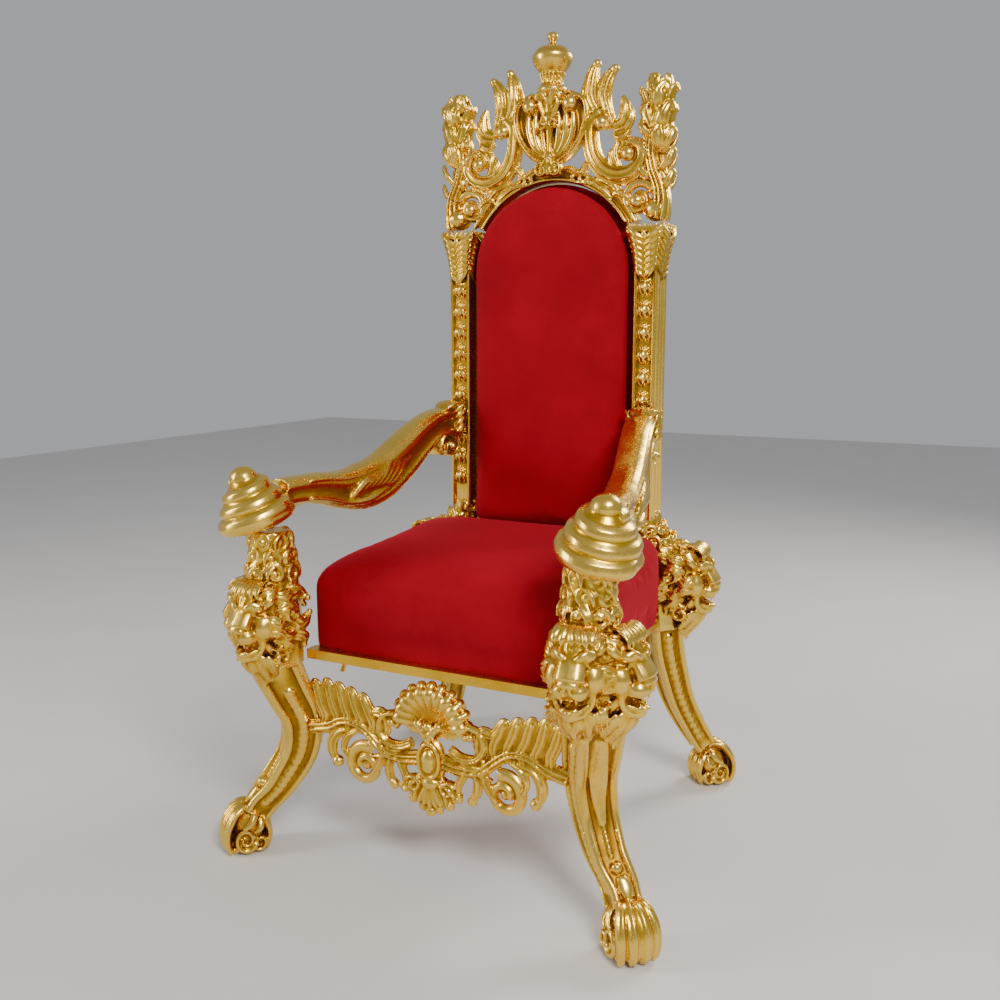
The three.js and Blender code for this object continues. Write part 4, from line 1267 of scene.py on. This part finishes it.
# %% Side and back aprons
def plain_apron(length):
    b = Block()
    half = length / 2
    right = Block()
    right.sweep([(0, 0, 424), (half * 0.5, 0, 410), (half, 0, 424)], lambda t: 12 - 3 * t, 10, FRONT,
        LEAF2, 50)
    right.volute((half * 0.5, -2, 396), 22, 1.3, 2.2, -1, wide=taper(6, 4), deep=10, section=LEAF2,
        eye=(6, 5))
    for k in range(4):
        x = half * (0.1 + 0.2 * k)
        right.sweep([(x, 0, 426), (x + 12, -3, 412), (x + 26, -3, 392 + 4 * k),
            (x + 36, -2, 396 + 4 * k)], swell(8, 0.4), 8, FRONT, LEAF2, 20)
    right.sweep([(half * 0.7, 0, 420), (half * 0.84, -3, 404), (half * 0.9, -3, 382)], swell(10, 0.4),
        9, FRONT, LEAF2, 22)
    b.include(right)
    b.include(right.mirrored())
    for k in range(-3, 4):
        b.sweep([(k * 3, -3, 430), (k * 9, -6, 404), (k * 12, -4, 380 + 3 * abs(k))],
            swell(6, 0.35, 0.7), 9, FRONT, ROUND, 20)
    return b


side = Block()
side.include(plain_apron(420), about_z(90), (281, -33, 0))
apron_right = carve("apron_carved_right", side, 2.2, 1, 14000)
pair(apron_right, "apron")
back = Block()
back.include(plain_apron(430), about_z(180), (0, 247, 0))
fitted(carve("apron_back_carved", back, 2.2, 1, 14000), "apron_back")

# %% [markdown]
# The four seat rails are plain bars. Their solids have the right form already, so they only get the gold.

# %% The plain gilded rails keep their solids
for name in ("seat_rail_front", "seat_rail_back", "seat_rail_left", "seat_rail_right"):
    rail = bpy.data.objects[name]
    rail.data.materials.clear()
    rail.data.materials.append(GOLD)

# %% [markdown]
# The seat and the back are padded and covered in velvet pulled tight. A slightly small closed form is remeshed and
# blown up by the cloth solver, so that its faces crown and its edges round as stuffing under velvet does.

# %% Cushions
CUSHION_VOXEL = 0.006
CUSHION_KEPT = 0.2
CLOTH_STEPS = 20


def blown(piece, cap, pressure=4.0, floor_z=0.0):
    """Swells a closed form with the cloth solver, and lets no point move further than cap."""
    apply_all(piece)
    before = np.empty(len(piece.data.vertices) * 3)
    piece.data.vertices.foreach_get("co", before)
    cloth = piece.modifiers.new("swell", "CLOTH")
    cloth.settings.use_pressure = True
    cloth.settings.uniform_pressure_force = pressure
    cloth.settings.effector_weights.gravity = 0.0
    cloth.settings.tension_stiffness = 12
    cloth.settings.bending_stiffness = 2
    for step in range(1, CLOTH_STEPS + 1):
        bpy.context.scene.frame_set(step)
    apply_all(piece)
    bpy.context.scene.frame_set(1)
    after = np.empty_like(before)
    piece.data.vertices.foreach_get("co", after)
    move = (after - before).reshape(-1, 3)
    far = np.linalg.norm(move, axis=1, keepdims=True)
    move *= np.minimum(1.0, cap / np.maximum(far, 1e-9))
    place = before.reshape(-1, 3) + move
    place[:, 2] = np.maximum(place[:, 2], floor_z)
    piece.data.vertices.foreach_set("co", place.ravel())
    even = piece.modifiers.new("settled", "SMOOTH")
    even.iterations = 3
    fine = piece.modifiers.new("fine", "SUBSURF")
    fine.levels = fine.render_levels = 1
    thin = piece.modifiers.new("thinned", "DECIMATE")
    thin.ratio = CUSHION_KEPT
    apply_all(piece)
    bpy.ops.object.shade_smooth()
    piece.data.materials.clear()
    piece.data.materials.append(VELVET)
    return piece


def seat_form():
    """A cushion that fills its frame: straight walls, a soft upper edge and a crown that is high at the back."""
    low, high = (Vector(corner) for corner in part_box("seat_cushion"))
    middle, span = (low + high) / 2, high - low
    bpy.ops.mesh.primitive_cube_add(size=1.0, location=middle,
        scale=(span.x - 0.012, span.y - 0.010, span.z))
    seat = bpy.context.object
    seat.name = "seat_cushion_velvet"
    bpy.ops.object.transform_apply(location=True, rotation=True, scale=True)
    bpy.ops.object.mode_set(mode="EDIT")
    bpy.ops.mesh.subdivide(number_cuts=30)
    bpy.ops.object.mode_set(mode="OBJECT")
    rounding = 0.038
    for vertex in seat.data.vertices:
        u = (vertex.co.x - middle.x) / (span.x / 2)
        v = (vertex.co.y - middle.y) / (span.y / 2)
        level = (vertex.co.z - low.z) / span.z
        edge = 0.626 + 0.030 * (v + 1) / 2
        crown = 0.040 * max(0.0, (1 - u**4) * (1 - abs(v) ** 3)) ** 0.6
        vertex.co.z = low.z - 0.007 + (edge + crown - low.z) * level
        # round the plan's corners and the upper edge
        for axis, middle_at, half in (("x", middle.x, span.x / 2), ("y", middle.y, span.y / 2)):
            away = getattr(vertex.co, axis) - middle_at
            other = v if axis == "x" else u
            pull = 0.018 * abs(other) ** 8 + rounding * 0.35 * max(0.0, (level - 0.8) / 0.2) ** 2
            setattr(vertex.co, axis, middle_at + away * (1 - pull * abs(away) / half**2))
    return seat


seat = seat_form()
skin = seat.modifiers.new("even skin", "REMESH")
skin.mode = "VOXEL"
skin.voxel_size = CUSHION_VOXEL
easing = seat.modifiers.new("eased", "SMOOTH")
easing.iterations = 3
blown(seat, 0.006, floor_z=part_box("seat_cushion")[0][2] - 0.006)
fitted(seat, "seat_cushion", slot="velvet")


def back_block(half, low, spring, y_front, y_back, edge):
    b = Block()
    outline = [(-half + edge, low), (half - edge, low), (half, low + edge),
        *[(half * math.cos(a), spring + half * math.sin(a)) for a in np.linspace(0, math.pi, 33)],
        (-half, low + edge)]
    outline = np.array(outline)
    rings = []
    for inset, y in ((14, y_back), (0, y_back - 10), (0, y_front + 26), (7, y_front + 12),
            (22, y_front + 3), (60, y_front - 4)):
        way = unit(outline - np.c_[np.zeros(len(outline)), np.clip(outline[:, 1], low + 120, spring)])
        p = outline - way * inset
        rings.append(np.c_[p[:, 0], np.full(len(p), y), p[:, 1]])
    n = len(outline)
    points = np.concatenate(rings)
    faces = [(i * n + j, i * n + (j + 1) % n, (i + 1) * n + (j + 1) % n, (i + 1) * n + j)
        for i in range(len(rings) - 1) for j in range(n)]
    faces += [tuple(range(n))[::-1], tuple(range(len(points) - n, len(points)))]
    b.add(points, faces)
    return b


back_pad = raw_mesh("back_cushion_velvet", back_block(203, 648, 1262, 224, 268, 14))
skin = back_pad.modifiers.new("even skin", "REMESH")
skin.mode = "VOXEL"
skin.voxel_size = CUSHION_VOXEL
easing = back_pad.modifiers.new("eased", "SMOOTH")
easing.iterations = 5
blown(back_pad, 0.008)
fitted(back_pad, "back_cushion", slot="velvet")

board = bpy.data.objects["back_board"]
board.data.materials.clear()
board.data.materials.append(VELVET)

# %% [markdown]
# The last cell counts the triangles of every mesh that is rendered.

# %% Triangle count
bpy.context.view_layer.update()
total = sum(sum(len(p.vertices) - 2 for p in o.data.polygons) for o in bpy.data.objects
    if o.type == "MESH" and not o.hide_render)
print("triangles in all:", total)
